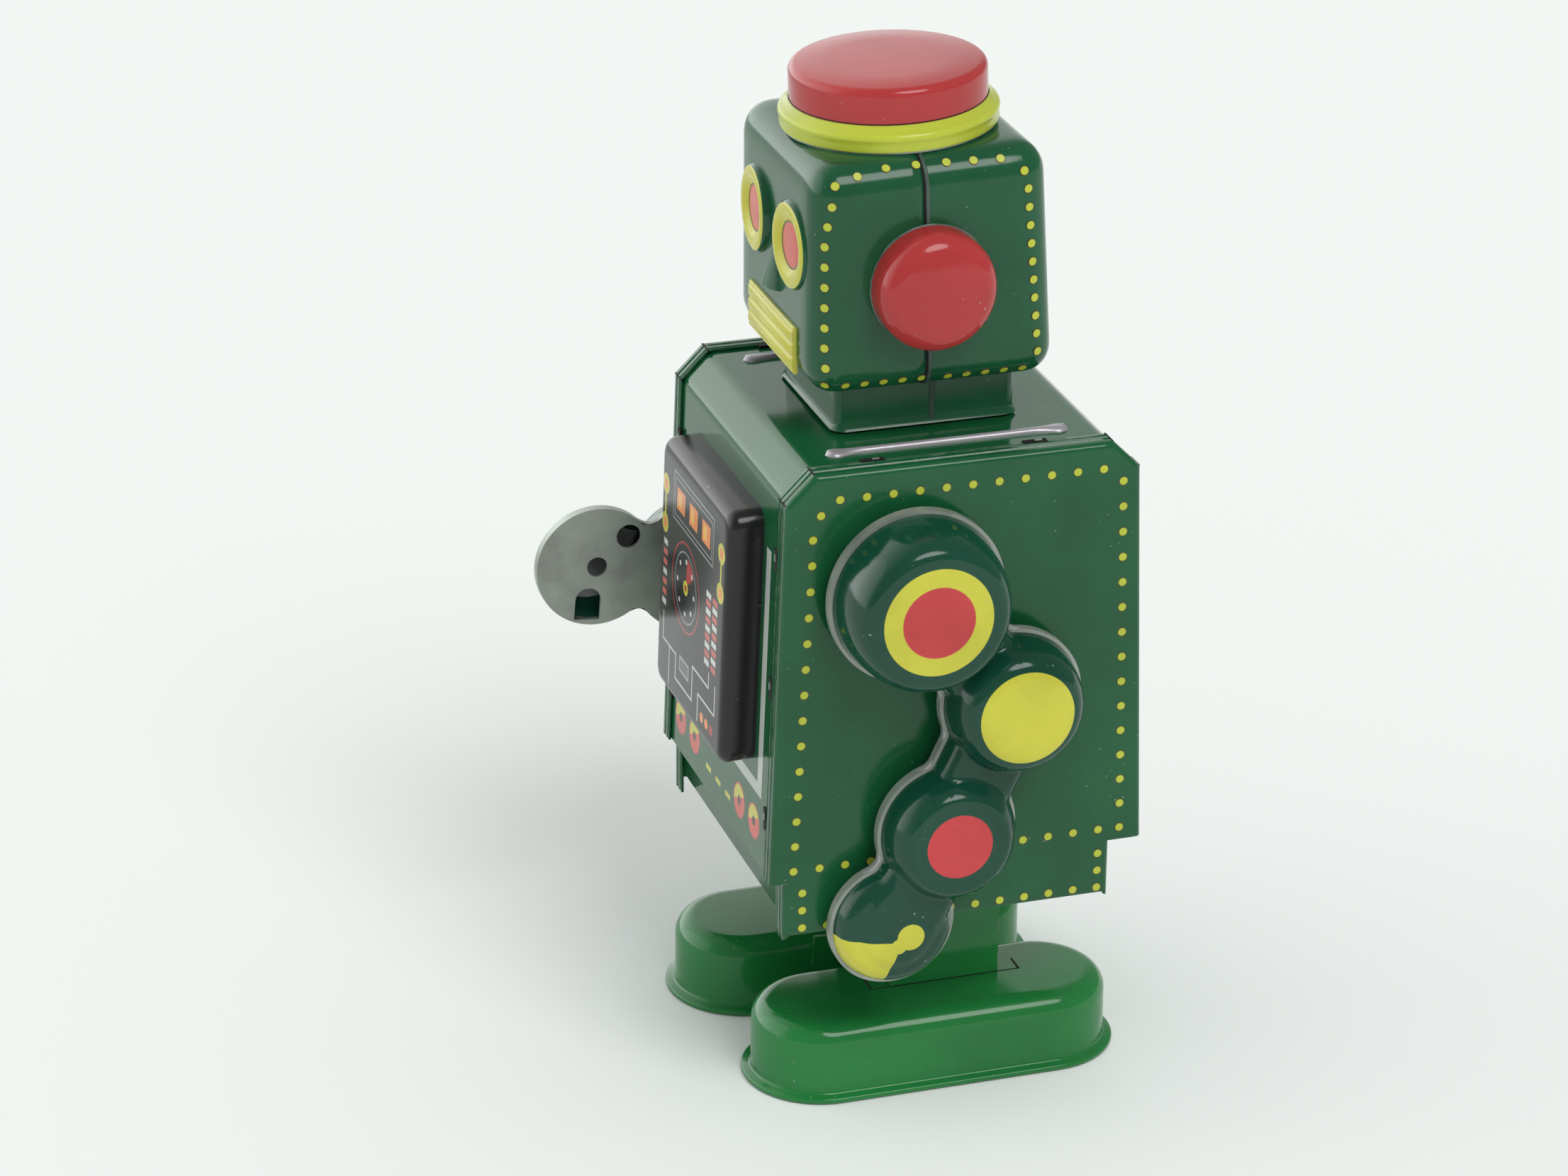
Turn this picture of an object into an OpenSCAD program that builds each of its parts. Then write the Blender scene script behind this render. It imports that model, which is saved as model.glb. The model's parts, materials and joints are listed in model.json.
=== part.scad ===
// Wind-up tin robot: a walking toy of pressed and tabbed tinplate round a clockwork movement.
// Millimetres, +Z up. The robot faces -Y, and its own left side is +X.
// The origin is on the floor, in the middle of the toy's overall length and width.

/* [Body] */
// Width of the body over its two side plates
body_w = 52.8; // [50:0.2:58]
// Height of the upper body
body_h = 60; // [58:0.5:66]
// Depth of the upper body at the top of its straight walls
body_d_top = 50.4; // [49:0.2:54]
// Depth of the upper body at its lower edge
body_d_bottom = 54.4; // [53:0.2:58]
// Height of the upper body's lower edge above the floor
body_z = 36.5; // [36:0.5:40]
// Size of the sloping corner between the top and the front or back
chamfer = 4; // [3:0.5:5]
// Thickness of the tinplate
tin = 0.4; // [0.3:0.05:0.5]
// Width of the side plates' flanges, which lap over the wrap
flange_w = 3.5; // [2.5:0.1:4]
// Gap left in the flanges at each bend of the outline
flange_gap = 0.5; // [0.2:0.1:1]
// Height of the pelvis below the upper body
pelvis_h = 8.8; // [7:0.2:11]
// Step from the upper body's lower front edge back to the pelvis
pelvis_front_step = 1.9; // [1:0.1:3]
// Step from the upper body's lower rear edge forward to the pelvis
pelvis_rear_step = 4.7; // [3:0.1:5.5]
// Height by which the wrap stops above the pelvis's lower edge
wrap_lift = 3.2; // [1:0.2:5]

/* [Tabs and ribs] */
// Length of a fastening tab along the edge
tab_len = 3.3; // [2:0.1:4]
// Width of the slot that a tab goes through
slot_w = 1.4; // [1:0.1:2]
// Distance from the body's middle to each shoulder rib
rib_x = 18.6; // [17:0.2:20]
// Length of a shoulder rib
rib_len = 34.8; // [30:0.2:38]
// Width of a shoulder rib
rib_w = 1.5; // [1:0.1:2.5]
// Height of a shoulder rib
rib_h = 0.6; // [0.3:0.1:1]

/* [Chest cover] */
// Width of the chest cover
chest_w = 32.2; // [28:0.2:36]
// Height of the chest cover
chest_h = 37.4; // [34:0.2:40]
// Depth of the chest cover
chest_d = 5; // [3:0.2:7]
// Height of the chest cover's lower edge above the upper body's lower edge
chest_rise = 13.9; // [12:0.1:16]
// Radius of the chest cover's rounded edges
chest_r = 1.6; // [1:0.2:2]

/* [Head] */
// Width of the head
head_w = 35.2; // [32:0.2:38]
// Distance from the body's middle to the face
head_front_y = 18.4; // [17:0.1:20]
// Distance from the body's middle to the back of the head at its lower edge
head_rear_low = 16.3; // [15.5:0.1:18]
// Distance from the body's middle to the back of the head at its top
head_rear_high = 14.2; // [13.5:0.1:16]
// Height of the head's lower face above the shoulders
neck_h = 6.8; // [5:0.2:9]
// Height of the face's upper edge above the shoulders
head_top_front = 39.6; // [38:0.1:42]
// Height of the back's upper edge above the shoulders
head_top_rear = 40.6; // [39:0.1:44]
// Radius of the head's rounded edges
head_r = 3; // [2:0.2:4]
// Width of the neck
neck_w = 24; // [20:0.2:28]
// Depth of the neck
neck_d = 25.8; // [22:0.2:28]
// Distance from the neck's seam forward to the seam at the head's lower edge
seam_low = 2.4; // [1:0.1:3]
// Distance from the neck's seam forward to the seam at the head's top
seam_high = 3.5; // [2:0.1:5]

/* [Face] */
// Distance from the middle of the face to the middle of each eye
eye_x = 7.85; // [7:0.05:9]
// Height of the eyes above the shoulders
eye_z = 26; // [24:0.2:28]
// Outer radius of an eye ring
eye_r = 6.15; // [5:0.05:6.5]
// Radius of the red disc inside an eye ring
pupil_r = 3.5; // [2.5:0.1:4]
// Height by which the face's features stand out
relief = 1; // [0.5:0.1:1.5]
// Width of the mouth panel
mouth_w = 21.2; // [16:0.2:24]
// Height of the mouth panel
mouth_h = 6.8; // [5:0.2:8]
// Height of the mouth panel's lower edge above the shoulders
mouth_z = 8.2; // [8:0.1:9]
// Length of the nose
nose_h = 5.4; // [4:0.2:6]
// Width of the nose at its foot
nose_w = 8; // [6:0.2:9]
// Height by which the nose stands out
nose_d = 2.6; // [1.5:0.1:3.5]

/* [Cap and ears] */
// Radius of the cap's bead, which sits on the head
cap_bead_r = 15.05; // [14.4:0.05:16]
// Radius of the cap's red wall
cap_r = 13.5; // [12:0.1:14]
// Height of the cap's bead
cap_bead_h = 3.1; // [2.5:0.1:4]
// Height of the cap over the head
cap_h = 8.4; // [7:0.1:11]
// Distance by which the cap and the ears sit ahead of the body's middle
crown_y = 2.6; // [1.5:0.1:3]
// Radius of an ear
ear_r = 8.3; // [7:0.1:9]
// Length by which an ear stands out
ear_h = 6.5; // [5:0.1:8]
// Height of the ears above the shoulders
ear_z = 22.2; // [20:0.1:24]

/* [Arms] */
// Height of the arm pivots above the upper body's lower edge
shoulder_rise = 42.6; // [41:0.1:44]
// Position of the left arm's pivot along Y, from the body's middle
left_shoulder_y = -8; // [-10:0.1:-6]
// Position of the right arm's pivot along Y, from the body's middle
right_shoulder_y = 9.7; // [8:0.1:11]
// Turn of the right arm from hanging to its forward pose
right_arm_raise = 66.7; // [60:0.1:75]
// Gap between a side plate and the arm's back plate
arm_gap = 2.5; // [1.5:0.1:3.5]
// Thickness of the arm's back plate
arm_plate_t = 0.5; // [0.4:0.05:0.8]
// Height of the crimped edge round the arm's back plate
crimp_h = 1; // [0.6:0.1:1.5]
// Width of the crimped edge
crimp_w = 0.5; // [0.4:0.05:0.7]
// Middle of the elbow from the pivot, backwards and upwards
elbow_at = [13.7, -16.7];
// Middle of the wrist from the pivot
wrist_at = [4.8, -35.3];
// Middle of the hand from the pivot
hand_at = [-2.9, -48.6];
// Base radius, top radius and height of the shoulder dome
shoulder_dome = [12.5, 10.2, 10];
// Base radius, top radius and height of the elbow dome
elbow_dome = [10.2, 7.8, 8];
// Base radius, top radius and height of the wrist dome
wrist_dome = [10, 7.8, 6.8];
// Base radius, top radius and height of the hand
hand_dome = [9, 7.4, 4];
// Radius of the domes' rounded shoulders
dome_edge_r = 2.6; // [1:0.1:3]
// Width by which a dome's shoulder spreads past its flat top
dome_lean = 1; // [0:0.1:1.5]
// Width of the necks between the domes
arm_neck_w = 13; // [10:0.2:15]
// Height of the necks between the domes
arm_neck_h = 4.4; // [3:0.2:5]
// Radius of the shoulder rivet
rivet_r = 2; // [1.5:0.1:2.5]

/* [Legs and feet] */
// Distance from the body's middle to the middle of each foot
foot_x = 14; // [13:0.1:15]
// Length of a foot over its lips
foot_len = 55; // [52:0.5:58]
// Half width of a foot's box
foot_r = 9.85; // [9:0.05:10.5]
// Radius of the lips at toe and heel
foot_lip_r = 11.2; // [10.8:0.05:12]
// Thickness of the lips
foot_lip_h = 0.9; // [0.6:0.1:1.5]
// Height of a foot
foot_h = 11.3; // [10.5:0.1:13]
// Radius of a foot's rounded upper edge
foot_edge_r = 3; // [2:0.2:4]
// Middle of the left foot's length from the body's middle
foot_y = 0.5; // [-1:0.1:2]
// Distance by which the right foot stands ahead of the left
stride = 2.9; // [1:0.1:4]
// Outer face of a leg from the body's middle
leg_x = 13.9; // [13.4:0.1:14.5]
// Depth of a leg's channel across the toy
leg_t = 3.5; // [3:0.1:3.6]
// Width of a leg's channel along the toy
leg_w = 16; // [14:0.2:17]
// Width of the flap that laps down the foot's inner wall
flap_w = 22; // [18:0.5:24]
// Middle of a leg's channel from the body's middle
leg_y = 3; // [2:0.1:4]
// Height of the leg pivots above the floor
leg_pivot_z = 62; // [60:0.2:64]
// Radius of the leg pivots
leg_pin_r = 1.5; // [1:0.1:2]
// Swing of each leg to either side of mid-stride
leg_swing = 4.5; // [3:0.1:5]
// Radius of the rollers under the feet
roller_r = 3.4; // [2.8:0.1:3.8]
// Distance from the middle of a foot back to its roller
roller_back = 16.5; // [15.5:0.1:18]
// Radius of the roller axles
roller_pin_r = 0.6; // [0.4:0.05:0.8]

/* [Movement] */
// Distance between the movement's plates
plate_gap = 18.2; // [17.8:0.1:18.4]
// Thickness of the movement's plates
plate_t = 0.8; // [0.6:0.1:1]
// Front edge of the movement's plates
plate_front = -15.5; // [-17:0.1:-14.5]
// Rear edge of the movement's plates
plate_rear = 22; // [20:0.1:22.5]
// Lower edge of the movement's plates above the floor
plate_low = 31; // [30:0.1:32]
// Upper edge of the movement's plates above the floor
plate_high = 76; // [75:0.5:80]
// Winding arbor's place: backwards from the body's middle, and above the floor
winding_at = [14, 46];
// Module of the wheels' teeth
gear_m = 0.5; // [0.45:0.01:0.52]
// Play between meshing teeth at the pitch circle
backlash = 0.16; // [0.12:0.01:0.25]
// Teeth of the great wheel
great_teeth = 42; // [38:1:44]
// Teeth of the crank pinion
crank_pinion_teeth = 12; // [10:1:13]
// Teeth of the crank wheel
crank_wheel_teeth = 36; // [32:1:38]
// Teeth of the third pinion
third_pinion_teeth = 10; // [9:1:12]
// Teeth of the third wheel
third_wheel_teeth = 30; // [26:1:32]
// Teeth of the escape pinion
escape_pinion_teeth = 8; // [8:1:10]
// Teeth of the escape wheel
escape_teeth = 15; // [12:1:18]
// Radius of the escape wheel
escape_r = 5.4; // [4.8:0.1:5.6]
// Distance that the pallets stay clear of the escape wheel's tooth tips
pallet_clear = 0.5; // [0.4:0.05:0.8]
// Radius of the winding arbor
winding_r = 1.4; // [1.2:0.1:1.6]
// Radius of the crank arbor
crank_arbor_r = 1.2; // [1:0.1:1.3]
// Radius of the third, escape and pallet arbors
fine_arbor_r = 0.7; // [0.5:0.05:0.8]
// Radius of the pillars between the plates
pillar_r = 1.7; // [1.2:0.1:2]
// Outer radius of the mainspring's coil
spring_r = 9.6; // [8:0.1:10]
// Width of the mainspring
spring_w = 6.6; // [5:0.1:6.8]
// Thickness of the mainspring's strip
spring_t = 0.45; // [0.3:0.05:0.6]
// Turns of the mainspring
spring_turns = 6; // [4:1:7]
// Radius of the crank pins
crank_pin_r = 0.8; // [0.6:0.1:1]
// Radial running clearance of every shaft in its hole
run_c = 0.05; // [0.03:0.01:0.1]
// Gap between moving pieces that only pass each other
pass_c = 0.3; // [0.2:0.05:0.5]

/* [Key] */
// Radius that the key's wings sweep
key_r = 9; // [7.5:0.1:9.2]
// Gap between the right side plate and the key
key_gap = 2; // [1:0.1:3]
// Length of the key's barrel
key_barrel = 4.5; // [3:0.1:6]
// Length of the key's wings along the arbor
key_wing = 6; // [4:0.1:6.4]
// Thickness of the key's wings
key_t = 1.2; // [0.8:0.1:1.6]

/* [Hidden] */
$fn = 64;
eps = 0.01;

// Body
side_x = body_w / 2;
pelvis_front = body_d_bottom / 2 - pelvis_front_step;
pelvis_rear = body_d_bottom / 2 - pelvis_rear_step;
body_top = body_z + body_h;
wall_top = body_top - chamfer;
pelvis_low = body_z - pelvis_h;
wrap_low = pelvis_low + wrap_lift;
wall_lean = atan((body_d_bottom - body_d_top) / 2 / (wall_top - body_z));
bend = tan(22.5);
slot_x = side_x - flange_w;
slot_rises = [8.6, 28.1, 46.9];
top_slots = [-12.1, 11.05];

// Head
cap_lean = atan((head_top_rear - head_top_front) / (head_front_y + head_rear_high - 2 * head_r));
head_top_mid = head_top_front - head_r + (head_front_y - head_r - crown_y) * tan(cap_lean) + head_r / cos(cap_lean);
neck_y = -0.75;

// Arms
arm_x = side_x + arm_gap;
shoulder_z = body_z + shoulder_rise;
arm_stations = [[0, 0], elbow_at, wrist_at, hand_at];
arm_domes = [shoulder_dome, elbow_dome, wrist_dome, hand_dome];
right_hand_y = right_shoulder_y + turned(hand_at, -right_arm_raise)[0];
rivet_head_r = rivet_r + 1.3;
rivet_head_t = 0.8;
washer_h = 0.9;

// The shift along Y that puts the origin in the middle of the toy's length
body_y = -((right_hand_y - hand_dome[0]) + (foot_y + foot_len / 2)) / 2;

// Movement
plate_in = plate_gap / 2;
plate_out = plate_in + plate_t;
crank_at = polar(winding_at, gear_m * (great_teeth + crank_pinion_teeth) / 2, 187);
third_at = polar(crank_at, gear_m * (crank_wheel_teeth + third_pinion_teeth) / 2, 130);
escape_at = polar(third_at, gear_m * (third_wheel_teeth + escape_pinion_teeth) / 2, 75);
pallet_at = polar(escape_at, escape_r + 3.4, 60);
pallet_arm = 5;
pallet_tail = 4.5;
pallet_spread = 68;
pallet_inner = pallet_arm * sin(pallet_spread) - 0.6;
pallet_tip = norm(pallet_at - escape_at) - sqrt(pow(escape_r + pallet_clear, 2) - pow(pallet_inner, 2));
pillar_places = [[-12, 36], [9.5, 33.2], [-12.5, 72.5], [18.8, 62]];
strap_z = 59;
strap_h = 6;
ratchet_r = 4.4;
ratchet_teeth = 12;
click_at = polar(winding_at, 7.4, 62);
click_pin_r = 0.6;
great_x = -6.4;
great_t = 1;
ratchet_x = -7.6;
ratchet_t = 1;
spring_x = -5;
crank_wheel_x = 3;
third_wheel_x = 5.3;
escape_x = 7.4;
wheel_t = 0.7;
pinion_over = 0.3;

// Legs
leg_drop = leg_pivot_z - crank_at[1];
leg_lean = atan(stride / (leg_pivot_z - foot_h));
crank_throw = leg_drop * tan(leg_swing);
crank_disc_r = crank_throw + crank_pin_r + 0.7;
crank_disc_t = 0.8;
crank_end = plate_out + pass_c + crank_disc_t;
leg_in = leg_x - leg_t;
leg_low = 4.6;
leg_drop_gap = 1.4;
window_half = 2 * crank_throw + crank_pin_r + pass_c;
window_rise = crank_throw + crank_pin_r + 2 * pass_c;
window_y = crank_at[0] + leg_drop * tan(leg_lean / 2);
foot_end = foot_len / 2 - foot_lip_r;
foot_clear = 0.15;
roller_half = 4.2;
bracket_half = roller_half + pass_c + tin;

function polar(p, d, a) = p + d * [cos(a), sin(a)];
function turned(p, a) = [p[0] * cos(a) - p[1] * sin(a), p[0] * sin(a) + p[1] * cos(a)];
function angle_to(a, b) = atan2(b[1] - a[1], b[0] - a[0]);
function wall_y(z) = body_d_bottom / 2 + (body_d_top - body_d_bottom) / 2 * (z - body_z) / (wall_top - body_z);
function reversed(list) = [for (i = [len(list) - 1:-1:0]) list[i]];

// Side outline of the upper body, front foot to rear foot, moved inwards by t
function upper_path(t, z_low) = [
    [-wall_y(z_low) + t, z_low],
    [-body_d_top / 2 + t, wall_top - t * bend],
    [-body_d_top / 2 + chamfer + t * bend, body_top - t],
    [body_d_top / 2 - chamfer - t * bend, body_top - t],
    [body_d_top / 2 - t, wall_top - t * bend],
    [wall_y(z_low) - t, z_low]];

// Side outline of the whole body with the pelvis, moved inwards by t
function body_path(t) = concat(
    [[-pelvis_front + t, pelvis_low], [-pelvis_front + t, body_z]],
    upper_path(t, body_z),
    [[pelvis_rear - t, body_z], [pelvis_rear - t, pelvis_low]]);

module at_body() translate([0, body_y, 0]) children();
module on_side(side) mirror([side < 0 ? 1 : 0, 0, 0]) children();
// A flat outline in (Y, Z) becomes a slab from x0 to x1
module slab(x0, x1) translate([x0, 0, 0]) rotate([90, 0, 90]) linear_extrude(x1 - x0) children();
// Turned pieces: the children's z axis becomes +X, starting at x0, round the place p
module on_arbor(p, x0) translate([x0, p[0], p[1]]) rotate([90, 0, 90]) children();
module block(x, y, z) translate([x[0], y[0], z[0]]) cube([x[1] - x[0], y[1] - y[0], z[1] - z[0]]);
// Children are placed on the sloping front panel at height z, with +Y going into the body
module on_front(z) translate([0, -wall_y(z), z]) rotate([-wall_lean, 0, 0]) children();
module on_back(z) translate([0, wall_y(z), z]) rotate([wall_lean, 0, 0]) children();

// ---- Body shell ----

module slot_cut(len, deep) translate([slot_x - slot_w + tin + 0.1, -deep, -len / 2]) cube([slot_w, 2 * deep, len]);

module body_wrap() color([0.14, 0.33, 0.24]) at_body() {
    path = concat(
        [[-pelvis_front + tin, wrap_low], [-pelvis_front + tin, body_z]],
        upper_path(tin, body_z),
        [[pelvis_rear - tin, body_z], [pelvis_rear - tin, wrap_low]],
        [[pelvis_rear - 2 * tin, wrap_low], [pelvis_rear - 2 * tin, body_z + tin]],
        reversed(upper_path(2 * tin, body_z + tin)),
        [[-pelvis_front + 2 * tin, body_z + tin], [-pelvis_front + 2 * tin, wrap_low]]);
    difference() {
        slab(-side_x + tin, side_x - tin) polygon(path);
        for (side = [-1, 1]) on_side(side) {
            for (rise = slot_rises) {
                on_front(body_z + rise) slot_cut(tab_len + 0.3, 2);
                on_back(body_z + rise) slot_cut(tab_len + 0.3, 2);
            }
            for (y = top_slots) translate([0, y, body_top]) rotate([90, 0, 0]) slot_cut(tab_len + 0.3, 2);
            for (y = [-1, 1])
                block([plate_in - 0.1, plate_out + 0.1],
                    y < 0 ? [-wall_y(strap_z) - 2, -wall_y(strap_z) + 3] : [wall_y(strap_z) - 3, wall_y(strap_z) + 2],
                    [strap_z + 1 - 0.1, strap_z + strap_h - 1 + 0.1]);
        }
        for (y = [-1, 1]) for (x = [-6, 6])
            block([x - tab_len / 2 - 0.1, x + tab_len / 2 + 0.1],
                [neck_y + y * (neck_d / 2 - tin / 2) - tin / 2 - 0.1, neck_y + y * (neck_d / 2 - tin / 2) + tin / 2 + 0.1],
                [body_top - 3 * tin, body_top + tin]);
    }
    for (side = [-1, 1]) on_side(side) translate([rib_x, 0, body_top - tin]) {
        block([-rib_w / 2, rib_w / 2], [-rib_len / 2 + rib_w, rib_len / 2 - rib_w], [0, rib_h]);
        for (y = [-1, 1]) translate([0, y * (rib_len / 2 - rib_w), 0]) cylinder(r = rib_w, h = rib_h);
    }
}

module side_plate(shoulder_y, key_hole) {
    difference() {
        union() {
            slab(side_x - tin, side_x) polygon(body_path(0));
            difference() {
                slab(slot_x, side_x - tin) difference() {
                    polygon(body_path(0));
                    polygon(concat([[-pelvis_front + tin, pelvis_low - 1], [-pelvis_front + tin, body_z + tin / 2]],
                        upper_path(tin, body_z - eps),
                        [[pelvis_rear - tin, body_z + tin / 2], [pelvis_rear - tin, pelvis_low - 1]]));
                }
                for (y = [-1, 1]) {
                    for (p = [[body_d_top / 2, wall_top], [body_d_top / 2 - chamfer, body_top]])
                        slab(slot_x - 1, side_x - tin - 0.6)
                            translate([y * p[0], p[1]]) rotate(y * (p[1] == wall_top ? -22.5 : -67.5)) square([6, flange_gap], center = true);
                }
                block([slot_x - 1, side_x - tin], [-60, 60], [body_z - tin - 0.3, body_z + tin + 0.2]);
                block([slot_x - 1, side_x - tin], [-60, 60], [pelvis_low - 1, pelvis_low + 1]);
            }
            for (rise = slot_rises) {
                on_front(body_z + rise) block([slot_x, slot_x + tin], [tin, 4 * tin + 1], [-tab_len / 2, tab_len / 2]);
                on_back(body_z + rise) block([slot_x, slot_x + tin], [-4 * tin - 1, -tin], [-tab_len / 2, tab_len / 2]);
            }
            for (y = top_slots)
                block([slot_x, slot_x + tin], [y - tab_len / 2, y + tab_len / 2], [body_top - 4 * tin - 1, body_top - tin]);
        }
        on_arbor([shoulder_y, shoulder_z], side_x - 2) cylinder(r = rivet_r + run_c, h = 4);
        if (key_hole) on_arbor(winding_at, side_x - 2) cylinder(r = winding_r + 0.6, h = 4);
    }
}

module side_plate_left() color([0.13, 0.36, 0.22]) at_body() side_plate(left_shoulder_y, false);
module side_plate_right() color([0.13, 0.36, 0.22]) at_body() on_side(-1) side_plate(right_shoulder_y, true);

// A pressed tray: a box with rounded outer edges, open at its back, lying in x and z, front face at -d
module tray_form(w, h, d, r, inset) hull()
    for (x = [-1, 1]) for (z = [-1, 1]) translate([x * (w / 2 - r), 0, z * (h / 2 - r)]) {
        translate([0, -d + r, 0]) sphere(r = r - inset, $fn = 24);
        rotate([90, 0, 0]) cylinder(r = r - inset, h = eps, $fn = 24);
    }

module chest_cover() color([0.09, 0.09, 0.1]) at_body() on_front(body_z + chest_rise + chest_h / 2) {
    translate([0, tin, 0]) difference() {
        tray_form(chest_w, chest_h, chest_d, chest_r, 0);
        translate([0, eps, 0]) tray_form(chest_w, chest_h, chest_d, chest_r, tin);
    }
}

// ---- Head ----

module head_form(inset) hull() for (x = [-1, 1]) {
    for (z = [neck_h + head_r, head_top_front - head_r])
        translate([x * (head_w / 2 - head_r), -head_front_y + head_r, body_top + z]) sphere(r = head_r - inset, $fn = 32);
    translate([x * (head_w / 2 - head_r), head_rear_low - head_r, body_top + neck_h + head_r]) sphere(r = head_r - inset, $fn = 32);
    translate([x * (head_w / 2 - head_r), head_rear_high - head_r, body_top + head_top_rear - head_r]) sphere(r = head_r - inset, $fn = 32);
}

module neck_form(inset) translate([0, neck_y, body_top - eps * (inset > 0 ? 1 : 0)])
    linear_extrude(neck_h + 2) square([neck_w - 2 * inset, neck_d - 2 * inset], center = true);

module head_shell() difference() {
    union() {
        head_form(0);
        neck_form(0);
    }
    head_form(tin);
    neck_form(tin);
}

// The half of space ahead of the seam (side -1) or behind it (side 1)
module seam_half(side) slab(-head_w, head_w) translate([0, body_top]) polygon([
    [side * 2 * head_w, -neck_h], [0, -neck_h], [0, neck_h + tin], [-seam_low, neck_h + tin],
    [-seam_high, head_top_rear + tin], [side * 2 * head_w, head_top_rear + tin]]);

module neck_tabs(y) for (x = [-6, 6])
    block([x - tab_len / 2, x + tab_len / 2],
        [neck_y + y * (neck_d / 2 - tin / 2) - tin / 2, neck_y + y * (neck_d / 2 - tin / 2) + tin / 2],
        [body_top - 2.5, body_top + 1]);

module eye_relief() rotate([90, 0, 0]) rotate_extrude() polygon([
    [0, -head_r / 2], [eye_r - 0.3, -head_r / 2], [eye_r, 0], [eye_r - 0.5, relief * 0.7], [eye_r - 1.2, relief],
    [pupil_r + 0.7, relief], [pupil_r, relief * 0.35], [0, relief * 0.35]]);

module head_front() color([0.12, 0.3, 0.22]) at_body() {
    difference() {
        intersection() {
            head_shell();
            seam_half(-1);
        }
        for (side = [-1, 1]) on_side(side) on_arbor([-crown_y, body_top + ear_z], 10) cylinder(r = 1.5, h = 12);
    }
    neck_tabs(-1);
    difference() {
        union() {
            for (x = [-1, 1]) translate([x * eye_x, -head_front_y, body_top + eye_z]) eye_relief();
            block([-mouth_w / 2, mouth_w / 2], [-head_front_y - relief * 0.7, -head_front_y + head_r], [body_top + mouth_z, body_top + mouth_z + mouth_h]);
            for (i = [0:2])
                block([-mouth_w / 2 + 1, mouth_w / 2 - 1], [-head_front_y - relief, -head_front_y],
                    [body_top + mouth_z + mouth_h * (0.16 + 0.28 * i), body_top + mouth_z + mouth_h * (0.28 + 0.28 * i)]);
            translate([0, -head_front_y, body_top + mouth_z + mouth_h + 1.8]) hull() {
                translate([0, 0, nose_h]) cube([0.6, tin, 0.4], center = true);
                translate([-nose_w / 2, 0, 0]) cube([nose_w, tin, 0.4]);
                translate([-0.6, -nose_d, 0]) cube([1.2, tin, 0.4]);
            }
        }
        head_form(tin);
    }
}

module head_rear() color([0.12, 0.3, 0.22]) at_body() {
    difference() {
        intersection() {
            head_shell();
            seam_half(1);
        }
        for (side = [-1, 1]) on_side(side) on_arbor([-crown_y, body_top + ear_z], 10) cylinder(r = 1.5, h = 12);
    }
    neck_tabs(1);
}

module head_cap() color([0.75, 0.16, 0.17]) at_body()
    translate([0, -crown_y, body_top + head_top_mid]) rotate([cap_lean, 0, 0]) rotate_extrude($fn = 96) {
        edge = 1.6;
        polygon(concat(
            [[cap_bead_r - 1, 0], [cap_bead_r, 0.7], [cap_bead_r, 1.3], [cap_bead_r - 0.6, 2.1], [cap_r, cap_bead_h]],
            [for (a = [0:15:90]) [cap_r - edge + edge * cos(a), cap_h - 0.2 - edge + edge * sin(a)]],
            [[0, cap_h], [0, cap_h - tin]],
            [for (a = [90:-15:0]) [cap_r - edge + (edge - tin) * cos(a), cap_h - 0.2 - edge + (edge - tin) * sin(a)]],
            [[cap_r - tin, cap_bead_h], [cap_bead_r - 0.6 - tin, 2.1], [cap_bead_r - tin, 1.3], [cap_bead_r - 1 - tin, 0]]));
    }

module ear() on_arbor([-crown_y, body_top + ear_z], head_w / 2) rotate_extrude() {
    edge = 2;
    crown = 0.6;
    polygon(concat(
        [[ear_r, 0]],
        [for (a = [0:15:90]) [ear_r - edge + edge * cos(a), ear_h - crown - edge + edge * sin(a)]],
        [[0, ear_h], [0, ear_h - tin]],
        [for (a = [90:-15:0]) [ear_r - edge + (edge - tin) * cos(a), ear_h - crown - edge + (edge - tin) * sin(a)]],
        [[ear_r - tin, 0]]));
}

module ear_stem() on_arbor([-crown_y, body_top + ear_z], head_w / 2 - 3) {
    cylinder(r = 1.4, h = 3 + ear_h - tin - 0.4);
}

module ear_left() color([0.75, 0.16, 0.17]) at_body() { ear(); ear_stem(); }
module ear_right() color([0.75, 0.16, 0.17]) at_body() on_side(-1) { ear(); ear_stem(); }

// ---- Arms, drawn flat: x backwards and y upwards from the pivot, z outwards from the body ----

module arm_outline(grow) {
    for (i = [0:3]) translate(arm_stations[i]) circle(r = arm_domes[i][0] + grow);
    for (i = [0:2]) translate(arm_stations[i]) rotate(angle_to(arm_stations[i], arm_stations[i + 1]))
        translate([0, -arm_neck_w / 2 - grow]) square([norm(arm_stations[i + 1] - arm_stations[i]), arm_neck_w + 2 * grow]);
}

// A pressed dome with a sloping wall and a rounded shoulder
module dome(base_r, top_r, h, inset) rotate_extrude() polygon(concat(
    [[0, 0], [base_r - inset, 0]],
    [for (a = [18:18:90]) [top_r - dome_edge_r + (dome_edge_r - inset) * cos(a), h - dome_edge_r + (dome_edge_r - inset) * sin(a)]],
    [[0, h - inset]]));

module arm_form(inset) {
    for (i = [0:3]) translate(arm_stations[i])
        dome(arm_domes[i][0] - crimp_w, arm_domes[i][1] + dome_lean, arm_domes[i][2], inset);
    for (i = [0:2]) translate(arm_stations[i]) rotate(angle_to(arm_stations[i], arm_stations[i + 1]))
        translate([0, -arm_neck_w / 2 + crimp_w + inset, 0])
            cube([norm(arm_stations[i + 1] - arm_stations[i]), arm_neck_w - 2 * (crimp_w + inset), arm_neck_h - inset]);
}

module arm_shell() translate([0, 0, arm_plate_t]) difference() {
    arm_form(0);
    translate([0, 0, -eps]) arm_form(tin);
}

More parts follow.
